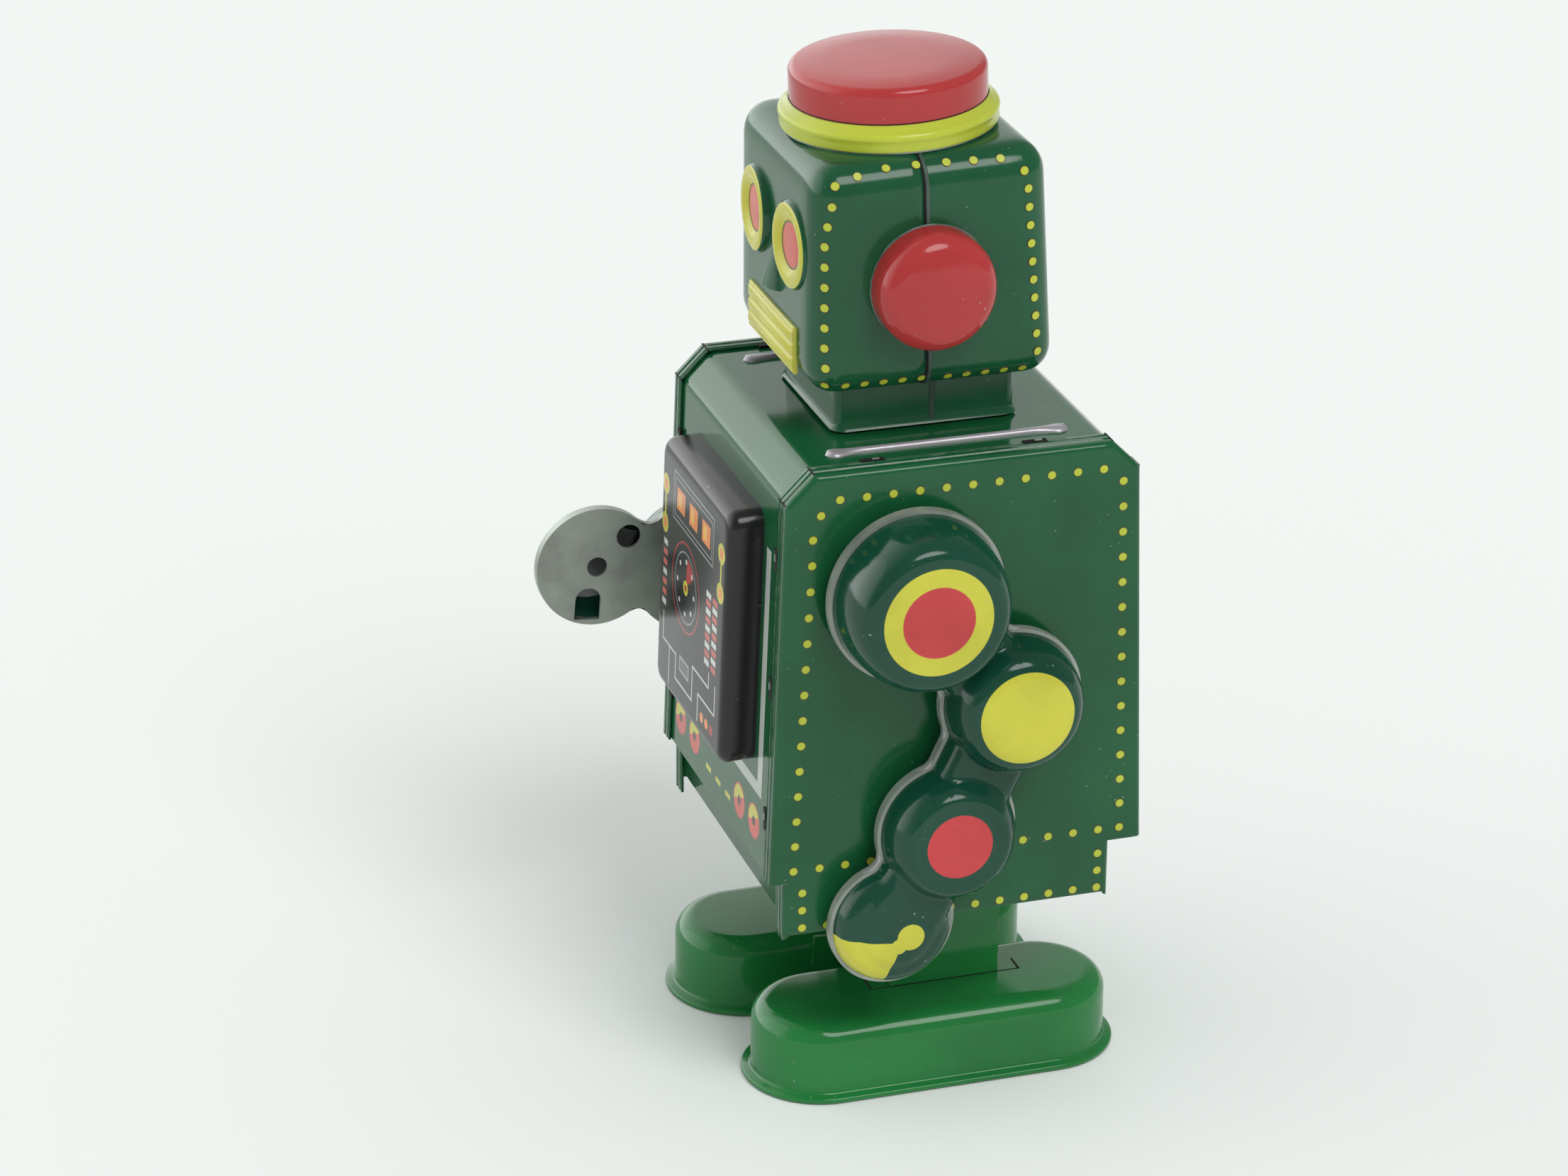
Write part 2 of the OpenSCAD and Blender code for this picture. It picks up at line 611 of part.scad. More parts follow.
module arm_back() difference() {
    linear_extrude(arm_plate_t + crimp_h) arm_outline(0);
    translate([0, 0, arm_plate_t]) linear_extrude(crimp_h + 1) arm_outline(-crimp_w);
    translate([0, 0, -1]) {
        cylinder(r = rivet_r, h = 3);
        translate(hand_at) cylinder(r = 1.5, h = 3);
        translate(hand_at) rotate(62) translate([4.4, 4.6, 0]) cylinder(r = 1.8, h = 3);
        translate(hand_at) rotate(62) translate([-1, -5.2, 0]) {
            cylinder(r = 1.9, h = 3);
            translate([-1.9, -3, 0]) cube([3.8, 3, 3]);
        }
    }
}

module arm_place(side) on_side(side) translate([arm_x, side > 0 ? left_shoulder_y : right_shoulder_y, shoulder_z])
    rotate([side > 0 ? 0 : -right_arm_raise, 0, 0]) rotate([90, 0, 90]) children();

module arm_shell_left() color([0.1, 0.3, 0.26]) at_body() arm_place(1) arm_shell();
module arm_shell_right() color([0.1, 0.3, 0.26]) at_body() arm_place(-1) arm_shell();
module arm_back_left() color([0.5, 0.52, 0.52]) at_body() arm_place(1) arm_back();
module arm_back_right() color([0.5, 0.52, 0.52]) at_body() arm_place(-1) arm_back();

module shoulder_rivet() {
    inner = -arm_gap - tin - washer_h;
    translate([0, 0, inner]) cylinder(r = rivet_r, h = arm_plate_t - inner);
    translate([0, 0, arm_plate_t]) cylinder(r = rivet_head_r, h = rivet_head_t);
    translate([0, 0, inner - rivet_head_t]) cylinder(r = rivet_head_r, h = rivet_head_t);
}

module shoulder_bush() translate([0, 0, -arm_gap]) difference() {
    cylinder(r = rivet_r + 2.4, h = arm_gap - run_c);
    translate([0, 0, -1]) cylinder(r = rivet_r + run_c, h = arm_gap + 2);
}

module shoulder_spring() translate([0, 0, -arm_gap - tin - washer_h]) rotate_extrude() polygon([
    [rivet_r + run_c, run_c], [rivet_r + run_c, run_c + tin], [rivet_r + 3, washer_h], [rivet_r + 3, washer_h - tin]]);

module shoulder_rivet_left() color([0.6, 0.6, 0.58]) at_body() arm_place(1) shoulder_rivet();
module shoulder_rivet_right() color([0.6, 0.6, 0.58]) at_body() arm_place(-1) shoulder_rivet();
module shoulder_bush_left() color([0.6, 0.6, 0.58]) at_body() arm_place(1) shoulder_bush();
module shoulder_bush_right() color([0.6, 0.6, 0.58]) at_body() arm_place(-1) shoulder_bush();
module shoulder_spring_left() color([0.6, 0.6, 0.58]) at_body() arm_place(1) shoulder_spring();
module shoulder_spring_right() color([0.6, 0.6, 0.58]) at_body() arm_place(-1) shoulder_spring();

// ---- Movement ----

function involute(a) = tan(a) - a * PI / 180;
// Half of a tooth's width, as an angle at the gear's centre, at the radius r
function tooth_half(teeth, r) =
    let (pitch_r = gear_m * teeth / 2, base_r = pitch_r * cos(20), at = acos(min(1, base_r / max(r, base_r))))
    ((PI * gear_m - backlash) / (4 * pitch_r) + involute(20) - involute(at)) * 180 / PI;
function tooth_points(teeth) =
    let (pitch_r = gear_m * teeth / 2, tip_r = pitch_r + 0.75 * gear_m, root_r = pitch_r - 1.05 * gear_m)
    [for (p = [[root_r, -1], [pitch_r, -1], [tip_r, -1], [tip_r, 1], [pitch_r, 1], [root_r, 1]])
        [p[0], p[1] * tooth_half(teeth, p[0])]];

// A toothed disc with one tooth pointing along the angle first
module gear(teeth, first, h) linear_extrude(h) polygon([
    for (i = [0:teeth - 1]) for (p = tooth_points(teeth))
        p[0] * [cos(first + 360 * i / teeth + p[1]), sin(first + 360 * i / teeth + p[1])]]);

// A wheel with its web cut out into spokes, bored to fit its arbor
module wheel(teeth, first, h, bore) {
    rim_in = gear_m * teeth / 2 - 2.1;
    hub = bore + 1.3;
    difference() {
        gear(teeth, first, h);
        translate([0, 0, -1]) cylinder(r = bore, h = h + 2);
        translate([0, 0, -1]) linear_extrude(h + 2) difference() {
            circle(r = rim_in);
            circle(r = hub);
            for (a = [0:90:270]) rotate(a + 45) translate([0, -0.8]) square([rim_in + 1, 1.6]);
        }
    }
}

module movement_plate() {
    strap_front = -wall_y(strap_z + strap_h) + 2 * tin + 0.3;
    strap_rear = wall_y(strap_z + strap_h) - 2 * tin - 0.3;
    difference() {
        union() {
            block([plate_in, plate_out], [plate_front, plate_rear], [body_z + tin + pass_c, plate_high]);
            block([plate_in, plate_out], [plate_front, pelvis_rear - 2 * tin - pass_c], [plate_low, body_z + 1]);
            block([plate_in, plate_out], [strap_front, strap_rear], [strap_z, strap_z + strap_h]);
            block([plate_in, plate_out], [strap_front - 2 * tin - 1.2, strap_rear + 2 * tin + 1.2], [strap_z + 1, strap_z + strap_h - 1]);
        }
        on_arbor(winding_at, plate_in - 1) cylinder(r = winding_r + run_c, h = plate_t + 2);
        on_arbor(crank_at, plate_in - 1) cylinder(r = crank_arbor_r + run_c, h = plate_t + 2);
        for (p = [third_at, escape_at, pallet_at]) on_arbor(p, plate_in - 1) cylinder(r = fine_arbor_r + run_c, h = plate_t + 2);
        for (p = pillar_places) on_arbor(p, plate_in - 1) cylinder(r = pillar_r * 0.6, h = plate_t + 2);
        on_arbor([leg_y, leg_pivot_z], plate_in - 1) cylinder(r = leg_pin_r, h = plate_t + 2);
        for (p = [[-8, 66], [12, 68], [-11, 46]]) on_arbor(p, plate_in - 1) cylinder(r = 2.2, h = plate_t + 2);
    }
}

module movement_plate_left() color([0.72, 0.72, 0.7]) at_body() movement_plate();
module movement_plate_right() color([0.72, 0.72, 0.7]) at_body() on_side(-1) movement_plate();

module movement_pillars() color([0.62, 0.62, 0.6]) at_body() for (p = pillar_places) {
    on_arbor(p, -plate_in) cylinder(r = pillar_r, h = plate_gap);
    on_arbor(p, -plate_out - 0.3) cylinder(r = pillar_r * 0.6, h = 2 * plate_out + 0.6);
}

// The mainspring: a flat spiral from the arbor out to the upper rear pillar, which holds its end
function spring_radius(f) = winding_r + 0.5 + (spring_r - winding_r - 0.5) * min(1, f)
    + (norm(pillar_places[3] - winding_at) - pillar_r - spring_t - pass_c - spring_r) * pow(max(0, f - 1) / (0.4 / spring_turns), 2);

module mainspring() color([0.3, 0.34, 0.42]) at_body() on_arbor(winding_at, spring_x) {
    end_a = angle_to(winding_at, pillar_places[3]);
    steps = 24 * spring_turns;
    last = steps + round(24 * 0.4);
    linear_extrude(spring_w) polygon(concat(
        [for (i = [0:last]) (spring_radius(i / steps) - spring_t / 2) * [cos(end_a + (i - last) * 15), sin(end_a + (i - last) * 15)]],
        [for (i = [last:-1:0]) (spring_radius(i / steps) + spring_t / 2) * [cos(end_a + (i - last) * 15), sin(end_a + (i - last) * 15)]]));
}

module winding_arbor() color([0.65, 0.65, 0.62]) at_body()
    on_arbor(winding_at, -side_x - key_gap - key_barrel) cylinder(r = winding_r, h = side_x + key_gap + key_barrel + plate_out + 0.2);

module winding_key() color([0.7, 0.7, 0.67]) at_body() on_arbor(winding_at, -side_x - key_gap - key_barrel - key_wing) {
    difference() {
        translate([0, 0, key_wing]) cylinder(r = winding_r + 1.2, h = key_barrel);
        translate([0, 0, key_wing]) cylinder(r = winding_r, h = key_barrel + 1);
    }
    difference() {
        intersection() {
            translate([-key_r, -key_t / 2, 0]) cube([2 * key_r, key_t, key_wing]);
            union() {
                for (x = [-1, 1]) translate([x * (key_r - key_wing / 2), 0, key_wing / 2]) rotate([90, 0, 0]) cylinder(r = key_wing / 2, h = 3, center = true);
                translate([-key_r / 2, -1.5, key_wing * 0.2]) cube([key_r, 3, key_wing * 0.8]);
            }
        }
        for (x = [-1, 1]) translate([x * (key_r - key_wing / 2), 0, key_wing / 2]) rotate([90, 0, 0]) cylinder(r = key_wing * 0.22, h = 5, center = true);
    }
}

module ratchet_wheel() color([0.7, 0.62, 0.35]) at_body() on_arbor(winding_at, ratchet_x) difference() {
    linear_extrude(ratchet_t) polygon([for (i = [0:ratchet_teeth - 1]) for (p = [[ratchet_r, 0], [ratchet_r - 0.9, 2]])
        p[0] * [cos(360 * i / ratchet_teeth + p[1]), sin(360 * i / ratchet_teeth + p[1])]]);
    translate([0, 0, -1]) cylinder(r = winding_r, h = ratchet_t + 2);
}

module great_wheel() color([0.75, 0.62, 0.3]) at_body() {
    on_arbor(winding_at, great_x) difference() {
        gear(great_teeth, angle_to(winding_at, crank_at), great_t);
        translate([0, 0, -1]) cylinder(r = winding_r + run_c, h = great_t + 2);
    }
    on_arbor(click_at, ratchet_x - 0.2) cylinder(r = click_pin_r, h = great_x - ratchet_x + 0.2);
}

// The click: a short lever on the great wheel, whose nose stops the ratchet wheel from turning back
module click() color([0.6, 0.6, 0.6]) at_body() on_arbor(click_at, ratchet_x) {
    nose = angle_to(click_at, winding_at) - 38;
    difference() {
        linear_extrude(ratchet_t) {
            circle(r = 1.4);
            rotate(nose) polygon([[0, -1.2], [3.9, -0.35], [4.2, 0.25], [0, 1.2]]);
        }
        translate([0, 0, -1]) cylinder(r = click_pin_r + run_c, h = ratchet_t + 2);
    }
}

module click_spring() color([0.6, 0.6, 0.6]) at_body() on_arbor(winding_at, ratchet_x + 0.2) {
    linear_extrude(0.8) polygon(concat(
        [for (a = [92:6:128]) 8.7 * [cos(a), sin(a)]],
        [for (a = [128:-6:92]) 8.4 * [cos(a), sin(a)]]));
    translate(8.55 * [cos(128), sin(128)]) cylinder(r = 0.8, h = great_x - ratchet_x - 0.2);
}

module crank_arbor() color([0.65, 0.65, 0.62]) at_body() {
    on_arbor(crank_at, -crank_end) cylinder(r = crank_arbor_r, h = 2 * crank_end);
    on_arbor(crank_at, great_x - pinion_over) gear(crank_pinion_teeth,
        angle_to(crank_at, winding_at) + 180 / crank_pinion_teeth, great_t + 2 * pinion_over);
}

module crank_wheel() color([0.75, 0.62, 0.3]) at_body() on_arbor(crank_at, crank_wheel_x)
    wheel(crank_wheel_teeth, angle_to(crank_at, third_at), wheel_t, crank_arbor_r);

// A disc on the end of the crank arbor with the pin that drives one leg
module crank_disc(side) on_side(side) on_arbor(crank_at, plate_out + pass_c) {
    difference() {
        cylinder(r = crank_disc_r, h = crank_disc_t);
        translate([0, 0, -1]) cylinder(r = crank_arbor_r, h = crank_disc_t + 2);
    }
    translate([0, side * crank_throw, crank_disc_t]) cylinder(r = crank_pin_r, h = leg_x + 0.8 - crank_end);
}
module crank_disc_left() color([0.65, 0.65, 0.62]) at_body() crank_disc(1);
module crank_disc_right() color([0.65, 0.65, 0.62]) at_body() crank_disc(-1);

module fine_arbor(p) on_arbor(p, -plate_out - 0.1) cylinder(r = fine_arbor_r, h = 2 * plate_out + 0.2);

module third_arbor() color([0.65, 0.65, 0.62]) at_body() {
    fine_arbor(third_at);
    on_arbor(third_at, crank_wheel_x - pinion_over) gear(third_pinion_teeth,
        angle_to(third_at, crank_at) + 180 / third_pinion_teeth, wheel_t + 2 * pinion_over);
}
module third_wheel() color([0.75, 0.62, 0.3]) at_body() on_arbor(third_at, third_wheel_x)
    wheel(third_wheel_teeth, angle_to(third_at, escape_at), wheel_t, fine_arbor_r);

module escape_arbor() color([0.65, 0.65, 0.62]) at_body() {
    fine_arbor(escape_at);
    on_arbor(escape_at, third_wheel_x - pinion_over) gear(escape_pinion_teeth,
        angle_to(escape_at, third_at) + 180 / escape_pinion_teeth, wheel_t + 2 * pinion_over);
}
module escape_wheel() color([0.75, 0.62, 0.3]) at_body() on_arbor(escape_at, escape_x) difference() {
    linear_extrude(wheel_t) polygon([for (i = [0:escape_teeth - 1]) for (p = [[escape_r, 0], [escape_r - 1.5, 7], [escape_r - 1.5, 15]])
        p[0] * [cos(360 * i / escape_teeth + p[1]), sin(360 * i / escape_teeth + p[1])]]);
    translate([0, 0, -1]) cylinder(r = fine_arbor_r, h = wheel_t + 2);
}

module pallet_arbor() color([0.65, 0.65, 0.62]) at_body() fine_arbor(pallet_at);
module pallet_lever() color([0.6, 0.6, 0.6]) at_body() on_arbor(pallet_at, escape_x) {
    down = angle_to(pallet_at, escape_at);
    difference() {
        linear_extrude(wheel_t) {
            circle(r = 1.8);
            for (side = [-1, 1]) rotate(down) {
                rotate(side * pallet_spread) translate([0, -0.6]) square([pallet_arm, 1.2]);
                translate([pallet_arm * cos(pallet_spread), side * pallet_arm * sin(pallet_spread) - 0.6])
                    square([pallet_tip - pallet_arm * cos(pallet_spread), 1.2]);
            }
            rotate(down + 180) translate([0, -0.8]) square([pallet_tail, 1.6]);
            rotate(down + 180) translate([pallet_tail, 0]) circle(r = 1.7);
        }
        translate([0, 0, -1]) cylinder(r = fine_arbor_r, h = wheel_t + 2);
    }
}

// ---- Legs and feet ----

module leg_pivot() on_arbor([leg_y, leg_pivot_z], plate_in) {
    cylinder(r = leg_pin_r, h = leg_x - plate_in + run_c);
    translate([0, 0, plate_t]) cylinder(r = leg_pin_r + 0.8, h = leg_x - tin - plate_out - run_c);
    translate([0, 0, leg_x - plate_in + run_c]) cylinder(r = leg_pin_r + 1.2, h = 0.8);
}
module leg_pivot_left() color([0.62, 0.62, 0.6]) at_body() leg_pivot();
module leg_pivot_right() color([0.62, 0.62, 0.6]) at_body() on_side(-1) leg_pivot();

// A channel, open towards the middle: a web at the outer face, with a flange along its front and rear
module channel(inner, low, high) difference() {
    block([inner, leg_x], [leg_y - leg_w / 2, leg_y + leg_w / 2], [low, high]);
    block([inner - 1, leg_x - tin], [leg_y - leg_w / 2 + tin, leg_y + leg_w / 2 - tin], [low - 1, high + 1]);
}

// The foot's cross-section under the leg's flanges: its straight inner wall and the rounded edge above
module foot_seat() translate([0, 60, 0]) rotate([90, 0, 0]) linear_extrude(120) {
    translate([foot_x - foot_r + foot_edge_r, foot_h - foot_edge_r]) circle(r = foot_edge_r);
    translate([foot_x - foot_r, 0]) square([leg_x - tin - foot_x + foot_r, foot_h - foot_edge_r]);
    translate([foot_x - foot_r + foot_edge_r, 0]) square([leg_x - tin - foot_x + foot_r - foot_edge_r, foot_h]);
}

// A leg: its narrow upper channel hangs from the pivot beside the movement, its wide lower channel
// stands on the foot, with the web through the foot's slot and a flap down the foot's inner wall
module leg(lean) difference() {
    translate([0, leg_y, leg_pivot_z]) rotate([-lean, 0, 0]) translate([0, -leg_y, -leg_pivot_z]) {
        difference() {
            union() {
                channel(leg_in, leg_low, leg_pivot_z + 4);
                channel(foot_x - foot_r - tin, leg_low, plate_low - leg_drop_gap);
            }
            on_arbor([leg_y, leg_pivot_z], leg_in) cylinder(r = leg_pin_r + run_c, h = leg_t + 1);
            block([leg_in, leg_x + 1], [window_y - window_half, window_y + window_half],
                [crank_at[1] - window_rise, crank_at[1] + window_rise]);
        }
        block([foot_x - foot_r - tin, foot_x - foot_r], [leg_y - flap_w / 2, leg_y + flap_w / 2], [leg_low, foot_h - 0.7]);
        block([foot_x - foot_r - tin, foot_x - foot_r], [leg_y - leg_w / 2, leg_y + leg_w / 2], [leg_low, foot_h + 1.5]);
    }
    foot_seat();
}
module leg_left() color([0.05, 0.45, 0.2]) at_body() leg(0);
module leg_right() color([0.05, 0.45, 0.2]) at_body() on_side(-1) leg(leg_lean);

// The foot's box: two rounded ends joined by straight sides, moved inwards by inset
module foot_form(inset, low) hull() for (y = [-1, 1]) translate([foot_x, foot_y + y * foot_end, 0]) {
    translate([0, 0, foot_h - foot_edge_r]) rotate_extrude($fn = 48) polygon(concat(
        [[0, 0]],
        [for (a = [0:18:90]) [foot_r - foot_edge_r + (foot_edge_r - inset) * cos(a), (foot_edge_r - inset) * sin(a)]],
        [[0, foot_edge_r - inset]]));
    translate([0, 0, low]) cylinder(r = foot_r - inset, h = 1, $fn = 48);
}

module foot(shift) translate([0, -shift, 0]) {
    difference() {
        foot_form(0, foot_clear);
        foot_form(tin, foot_clear - 1);
        block([leg_x - tin - 0.1, leg_x + 0.1], [leg_y - leg_w / 2 - 0.3, leg_y + leg_w / 2 + 0.3], [foot_h - 3, foot_h + 3]);
    }
    for (y = [-1, 1]) translate([foot_x, foot_y + y * foot_end, foot_clear]) difference() {
        cylinder(r = foot_lip_r, h = foot_lip_h);
        translate([0, 0, -1]) cylinder(r = foot_r - tin, h = foot_lip_h + 2);
        translate([-20, y > 0 ? -40 : 0, -1]) cube([40, 40, 4]);
    }
}
module foot_left() color([0.05, 0.45, 0.2]) at_body() foot(0);
module foot_right() color([0.05, 0.45, 0.2]) at_body() on_side(-1) foot(stride);

module roller_place(side) on_side(side) translate([foot_x, foot_y + roller_back - (side < 0 ? stride : 0), roller_r]) children();

module roller_bracket() {
    top = foot_h - tin - roller_r;
    block([-bracket_half, bracket_half], [-3.4, 3.4], [top - tin, top]);
    for (x = [-1, 1]) difference() {
        block(x > 0 ? [bracket_half - tin, bracket_half] : [-bracket_half, -bracket_half + tin], [-3.4, 3.4], [-1.6, top]);
        rotate([0, 90, 0]) cylinder(r = roller_pin_r, h = 20, center = true);
    }
}
module roller_axle() rotate([0, 90, 0]) cylinder(r = roller_pin_r, h = 2 * bracket_half + 0.8, center = true);
module foot_roller() rotate([0, 90, 0]) difference() {
    union() {
        cylinder(r = 1.6, h = 2 * roller_half, center = true);
        for (x = [-1, 1]) translate([0, 0, x * (roller_half - 1)]) cylinder(r = roller_r, h = 2, center = true);
    }
    cylinder(r = roller_pin_r + run_c, h = 20, center = true);
}
module roller_bracket_left() color([0.6, 0.6, 0.6]) at_body() roller_place(1) roller_bracket();
module roller_bracket_right() color([0.6, 0.6, 0.6]) at_body() roller_place(-1) roller_bracket();
module roller_axle_left() color([0.65, 0.65, 0.62]) at_body() roller_place(1) roller_axle();
module roller_axle_right() color([0.65, 0.65, 0.62]) at_body() roller_place(-1) roller_axle();
module foot_roller_left() color([0.15, 0.15, 0.15]) at_body() roller_place(1) foot_roller();
module foot_roller_right() color([0.15, 0.15, 0.15]) at_body() roller_place(-1) foot_roller();

body_wrap();
side_plate_left();
side_plate_right();
chest_cover();
head_front();
head_rear();
head_cap();
ear_left();
ear_right();
arm_shell_left();
arm_shell_right();
arm_back_left();
arm_back_right();
shoulder_rivet_left();
shoulder_rivet_right();
shoulder_bush_left();
shoulder_bush_right();
shoulder_spring_left();
shoulder_spring_right();
movement_plate_left();
movement_plate_right();
movement_pillars();
mainspring();
winding_arbor();
winding_key();
ratchet_wheel();
great_wheel();
click();
click_spring();
crank_arbor();
crank_wheel();
crank_disc_left();
crank_disc_right();
third_arbor();
third_wheel();
escape_arbor();
escape_wheel();
pallet_arbor();
pallet_lever();
leg_pivot_left();
leg_pivot_right();
leg_left();
leg_right();
foot_left();
foot_right();
roller_bracket_left();
roller_bracket_right();
roller_axle_left();
roller_axle_right();
foot_roller_left();
foot_roller_right();
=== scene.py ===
# %% [markdown]
# # A wind-up tin robot
#
# This lesson dresses a clockwork walking robot of printed tinplate. The construction model already gives
# every piece its place and size, so the script first loads it and keeps it as a fixed frame. The pressed
# skins are then remade with the soft bends that a press leaves, and each surface gets its own finish.

# %% Load the construction model
import json
import math

import bmesh
import bpy
from mathutils import Matrix, Vector


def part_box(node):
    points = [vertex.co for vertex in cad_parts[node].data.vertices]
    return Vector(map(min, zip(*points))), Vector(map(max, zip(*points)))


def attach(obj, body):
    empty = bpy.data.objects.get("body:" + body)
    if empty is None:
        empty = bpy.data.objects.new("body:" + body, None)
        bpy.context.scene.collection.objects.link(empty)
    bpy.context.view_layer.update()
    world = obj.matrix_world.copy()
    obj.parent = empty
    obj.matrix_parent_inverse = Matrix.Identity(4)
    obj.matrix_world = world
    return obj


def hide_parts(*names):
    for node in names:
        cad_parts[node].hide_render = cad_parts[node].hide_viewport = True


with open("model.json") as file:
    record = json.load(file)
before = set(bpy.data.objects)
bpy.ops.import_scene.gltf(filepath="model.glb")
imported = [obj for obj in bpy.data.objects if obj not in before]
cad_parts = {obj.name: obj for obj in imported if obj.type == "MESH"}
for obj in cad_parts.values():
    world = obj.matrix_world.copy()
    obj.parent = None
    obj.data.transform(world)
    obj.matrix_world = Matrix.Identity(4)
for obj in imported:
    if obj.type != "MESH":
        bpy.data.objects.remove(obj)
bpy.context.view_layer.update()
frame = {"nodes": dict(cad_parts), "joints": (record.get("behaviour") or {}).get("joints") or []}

# %% [markdown]
# Every mesh is worked out in millimetres from the middle of the body, because that is how a toy maker
# would dimension it. `to_frame` turns such a point into the frame's metres. The pivots come from the
# joints, and the sizes come from the boxes of the construction pieces.

# %% Units, pivots and sizes
MM = 0.001
wrap_low, wrap_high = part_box("body_wrap")
middle_y = (wrap_low.y + wrap_high.y) / 2 / MM
pivots = {joint["name"]: Vector(joint["pos_m"]) / MM for joint in frame["joints"] if "pos_m" in joint}


def to_frame(point):
    """A point in millimetres from the body's middle, in the frame's metres."""
    return Vector((point[0], point[1] + middle_y, point[2])) * MM


def box_mm(node):
    """Corners of a construction piece, in millimetres from the body's middle."""
    low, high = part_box(node)
    return [Vector((c.x / MM, c.y / MM - middle_y, c.z / MM)) for c in (low, high)]


def pivot_of(joint):
    """Place of a joint along Y and Z, in millimetres from the body's middle."""
    return pivots[joint].y - middle_y, pivots[joint].z


def word_of(side):
    """The name of a side: 1 is the robot's own left and -1 its right."""
    return "left" if side > 0 else "right"


plate_low, plate_high = box_mm("side_plate_left")
side_x = plate_high.x
body_top = plate_high.z
print("body half width", round(side_x, 2), "shoulder height", round(body_top, 2))

# %% [markdown]
# ## Camera, light and floor
#
# The toy stands on a plain pale sheet and is seen from its left, a little from above, through a long
# lens. One wide sun stands in for a soft box and a weaker one for a window, and the pale world fills the
# shadows. What the gloss mirrors is brightest at the front, on the side away from the camera.

# %% Camera
camera_azimuth = math.radians(72.227)
camera_elevation = math.radians(23.598)
camera_roll = math.radians(0.365)
camera_place = to_frame((597.57, -208.60, 343.04))
focal_length = 112.66


def camera_axes():
    """The camera's right, up and backward directions."""
    az, el, roll = camera_azimuth, camera_elevation, camera_roll
    right = Vector((math.cos(az), math.sin(az), 0))
    back = Vector((math.sin(az) * math.cos(el), -math.cos(az) * math.cos(el), math.sin(el)))
    up = back.cross(right)
    turned_right = math.cos(roll) * right + math.sin(roll) * up
    turned_up = math.cos(roll) * up - math.sin(roll) * right
    return turned_right, turned_up, back


camera_data = bpy.data.cameras.new("camera")
camera_data.lens = focal_length
camera_data.sensor_width = 36
camera_data.clip_start = 0.01
camera = bpy.data.objects.new("camera", camera_data)
bpy.context.scene.collection.objects.link(camera)
axes = camera_axes()
camera.matrix_world = Matrix.Translation(camera_place) @ Matrix(axes).transposed().to_4x4()
bpy.context.scene.camera = camera
bpy.context.scene.view_settings.view_transform = "Standard"
print("camera", [round(v, 3) for v in camera_place])

# %% Light
sun_strength = 1.22
window_strength = 0.42
fill_strength = 0.72
mirror_low, mirror_gain = 0.3, 3.1
bright_side = Vector((-0.8, -0.6, 0.0))
paper_colour = (0.9, 0.925, 0.91)


def add_sun(name, toward, strength, spread):
    """A soft distant light that shines from the direction toward."""
    data = bpy.data.lights.new(name, "SUN")
    data.energy = strength
    data.angle = math.radians(spread)
    light = bpy.data.objects.new(name, data)
    light.rotation_euler = Vector(toward).to_track_quat("Z", "Y").to_euler()
    bpy.context.scene.collection.objects.link(light)


add_sun("soft_box", (0.8, 0.2, 1.0), sun_strength, 30)
add_sun("window", (-0.35, -1.0, 0.35), window_strength, 60)

world = bpy.data.worlds.new("studio")
world.use_nodes = True
bpy.context.scene.world = world
tree = world.node_tree
sky = tree.nodes["Background"]
sky.inputs["Color"].default_value = (*paper_colour, 1)
path = tree.nodes.new("ShaderNodeLightPath")


def world_math(operation, *values):
    """Adds a math node to the world's shader."""
    node = tree.nodes.new("ShaderNodeMath")
    node.operation = operation
    for value, socket in zip(values, node.inputs):
        if isinstance(value, bpy.types.NodeSocket):
            tree.links.new(value, socket)
        else:
            socket.default_value = value
    return node.outputs[0]


direction = tree.nodes.new("ShaderNodeTexCoord").outputs["Generated"]
toward = tree.nodes.new("ShaderNodeVectorMath")
toward.operation = "DOT_PRODUCT"
toward.inputs[1].default_value = bright_side
tree.links.new(direction, toward.inputs[0])
side_light = world_math("POWER", world_math("MAXIMUM", toward.outputs["Value"], 0.0), 2.0)
mirror = world_math("MULTIPLY_ADD", side_light, mirror_gain, mirror_low - fill_strength)
level = world_math("MULTIPLY_ADD", path.outputs["Is Camera Ray"], 1.0 - fill_strength, fill_strength)
level = world_math("MULTIPLY_ADD", path.outputs["Is Glossy Ray"], mirror, level)
tree.links.new(level, sky.inputs["Strength"])
print("light: two soft suns and a pale world")

# %% Floor
floor_size = 6.0
floor_mesh = bpy.data.meshes.new("floor")
half = floor_size / 2
corners = [(-half, -half, 0), (half, -half, 0), (half, half, 0), (-half, half, 0)]
floor_mesh.from_pydata(corners, [], [(0, 1, 2, 3)])
floor = bpy.data.objects.new("floor", floor_mesh)
bpy.context.scene.collection.objects.link(floor)
paper = bpy.data.materials.new("paper")
paper.use_nodes = True
paper.node_tree.nodes["Principled BSDF"].inputs["Base Color"].default_value = (*paper_colour, 1)
paper.node_tree.nodes["Principled BSDF"].inputs["Roughness"].default_value = 0.9
floor_mesh.materials.append(paper)
print("floor", floor_size, "m square")

# %% [markdown]
# ## Finishes
#
# Tinplate toys are printed flat and then pressed, so the finish is a thin gloss enamel with printed
# shapes under it. `Finish` is a small helper that adds shader nodes and joins them, which keeps each
# finish short enough to read. Printed shapes are masks worked out from the object coordinates.

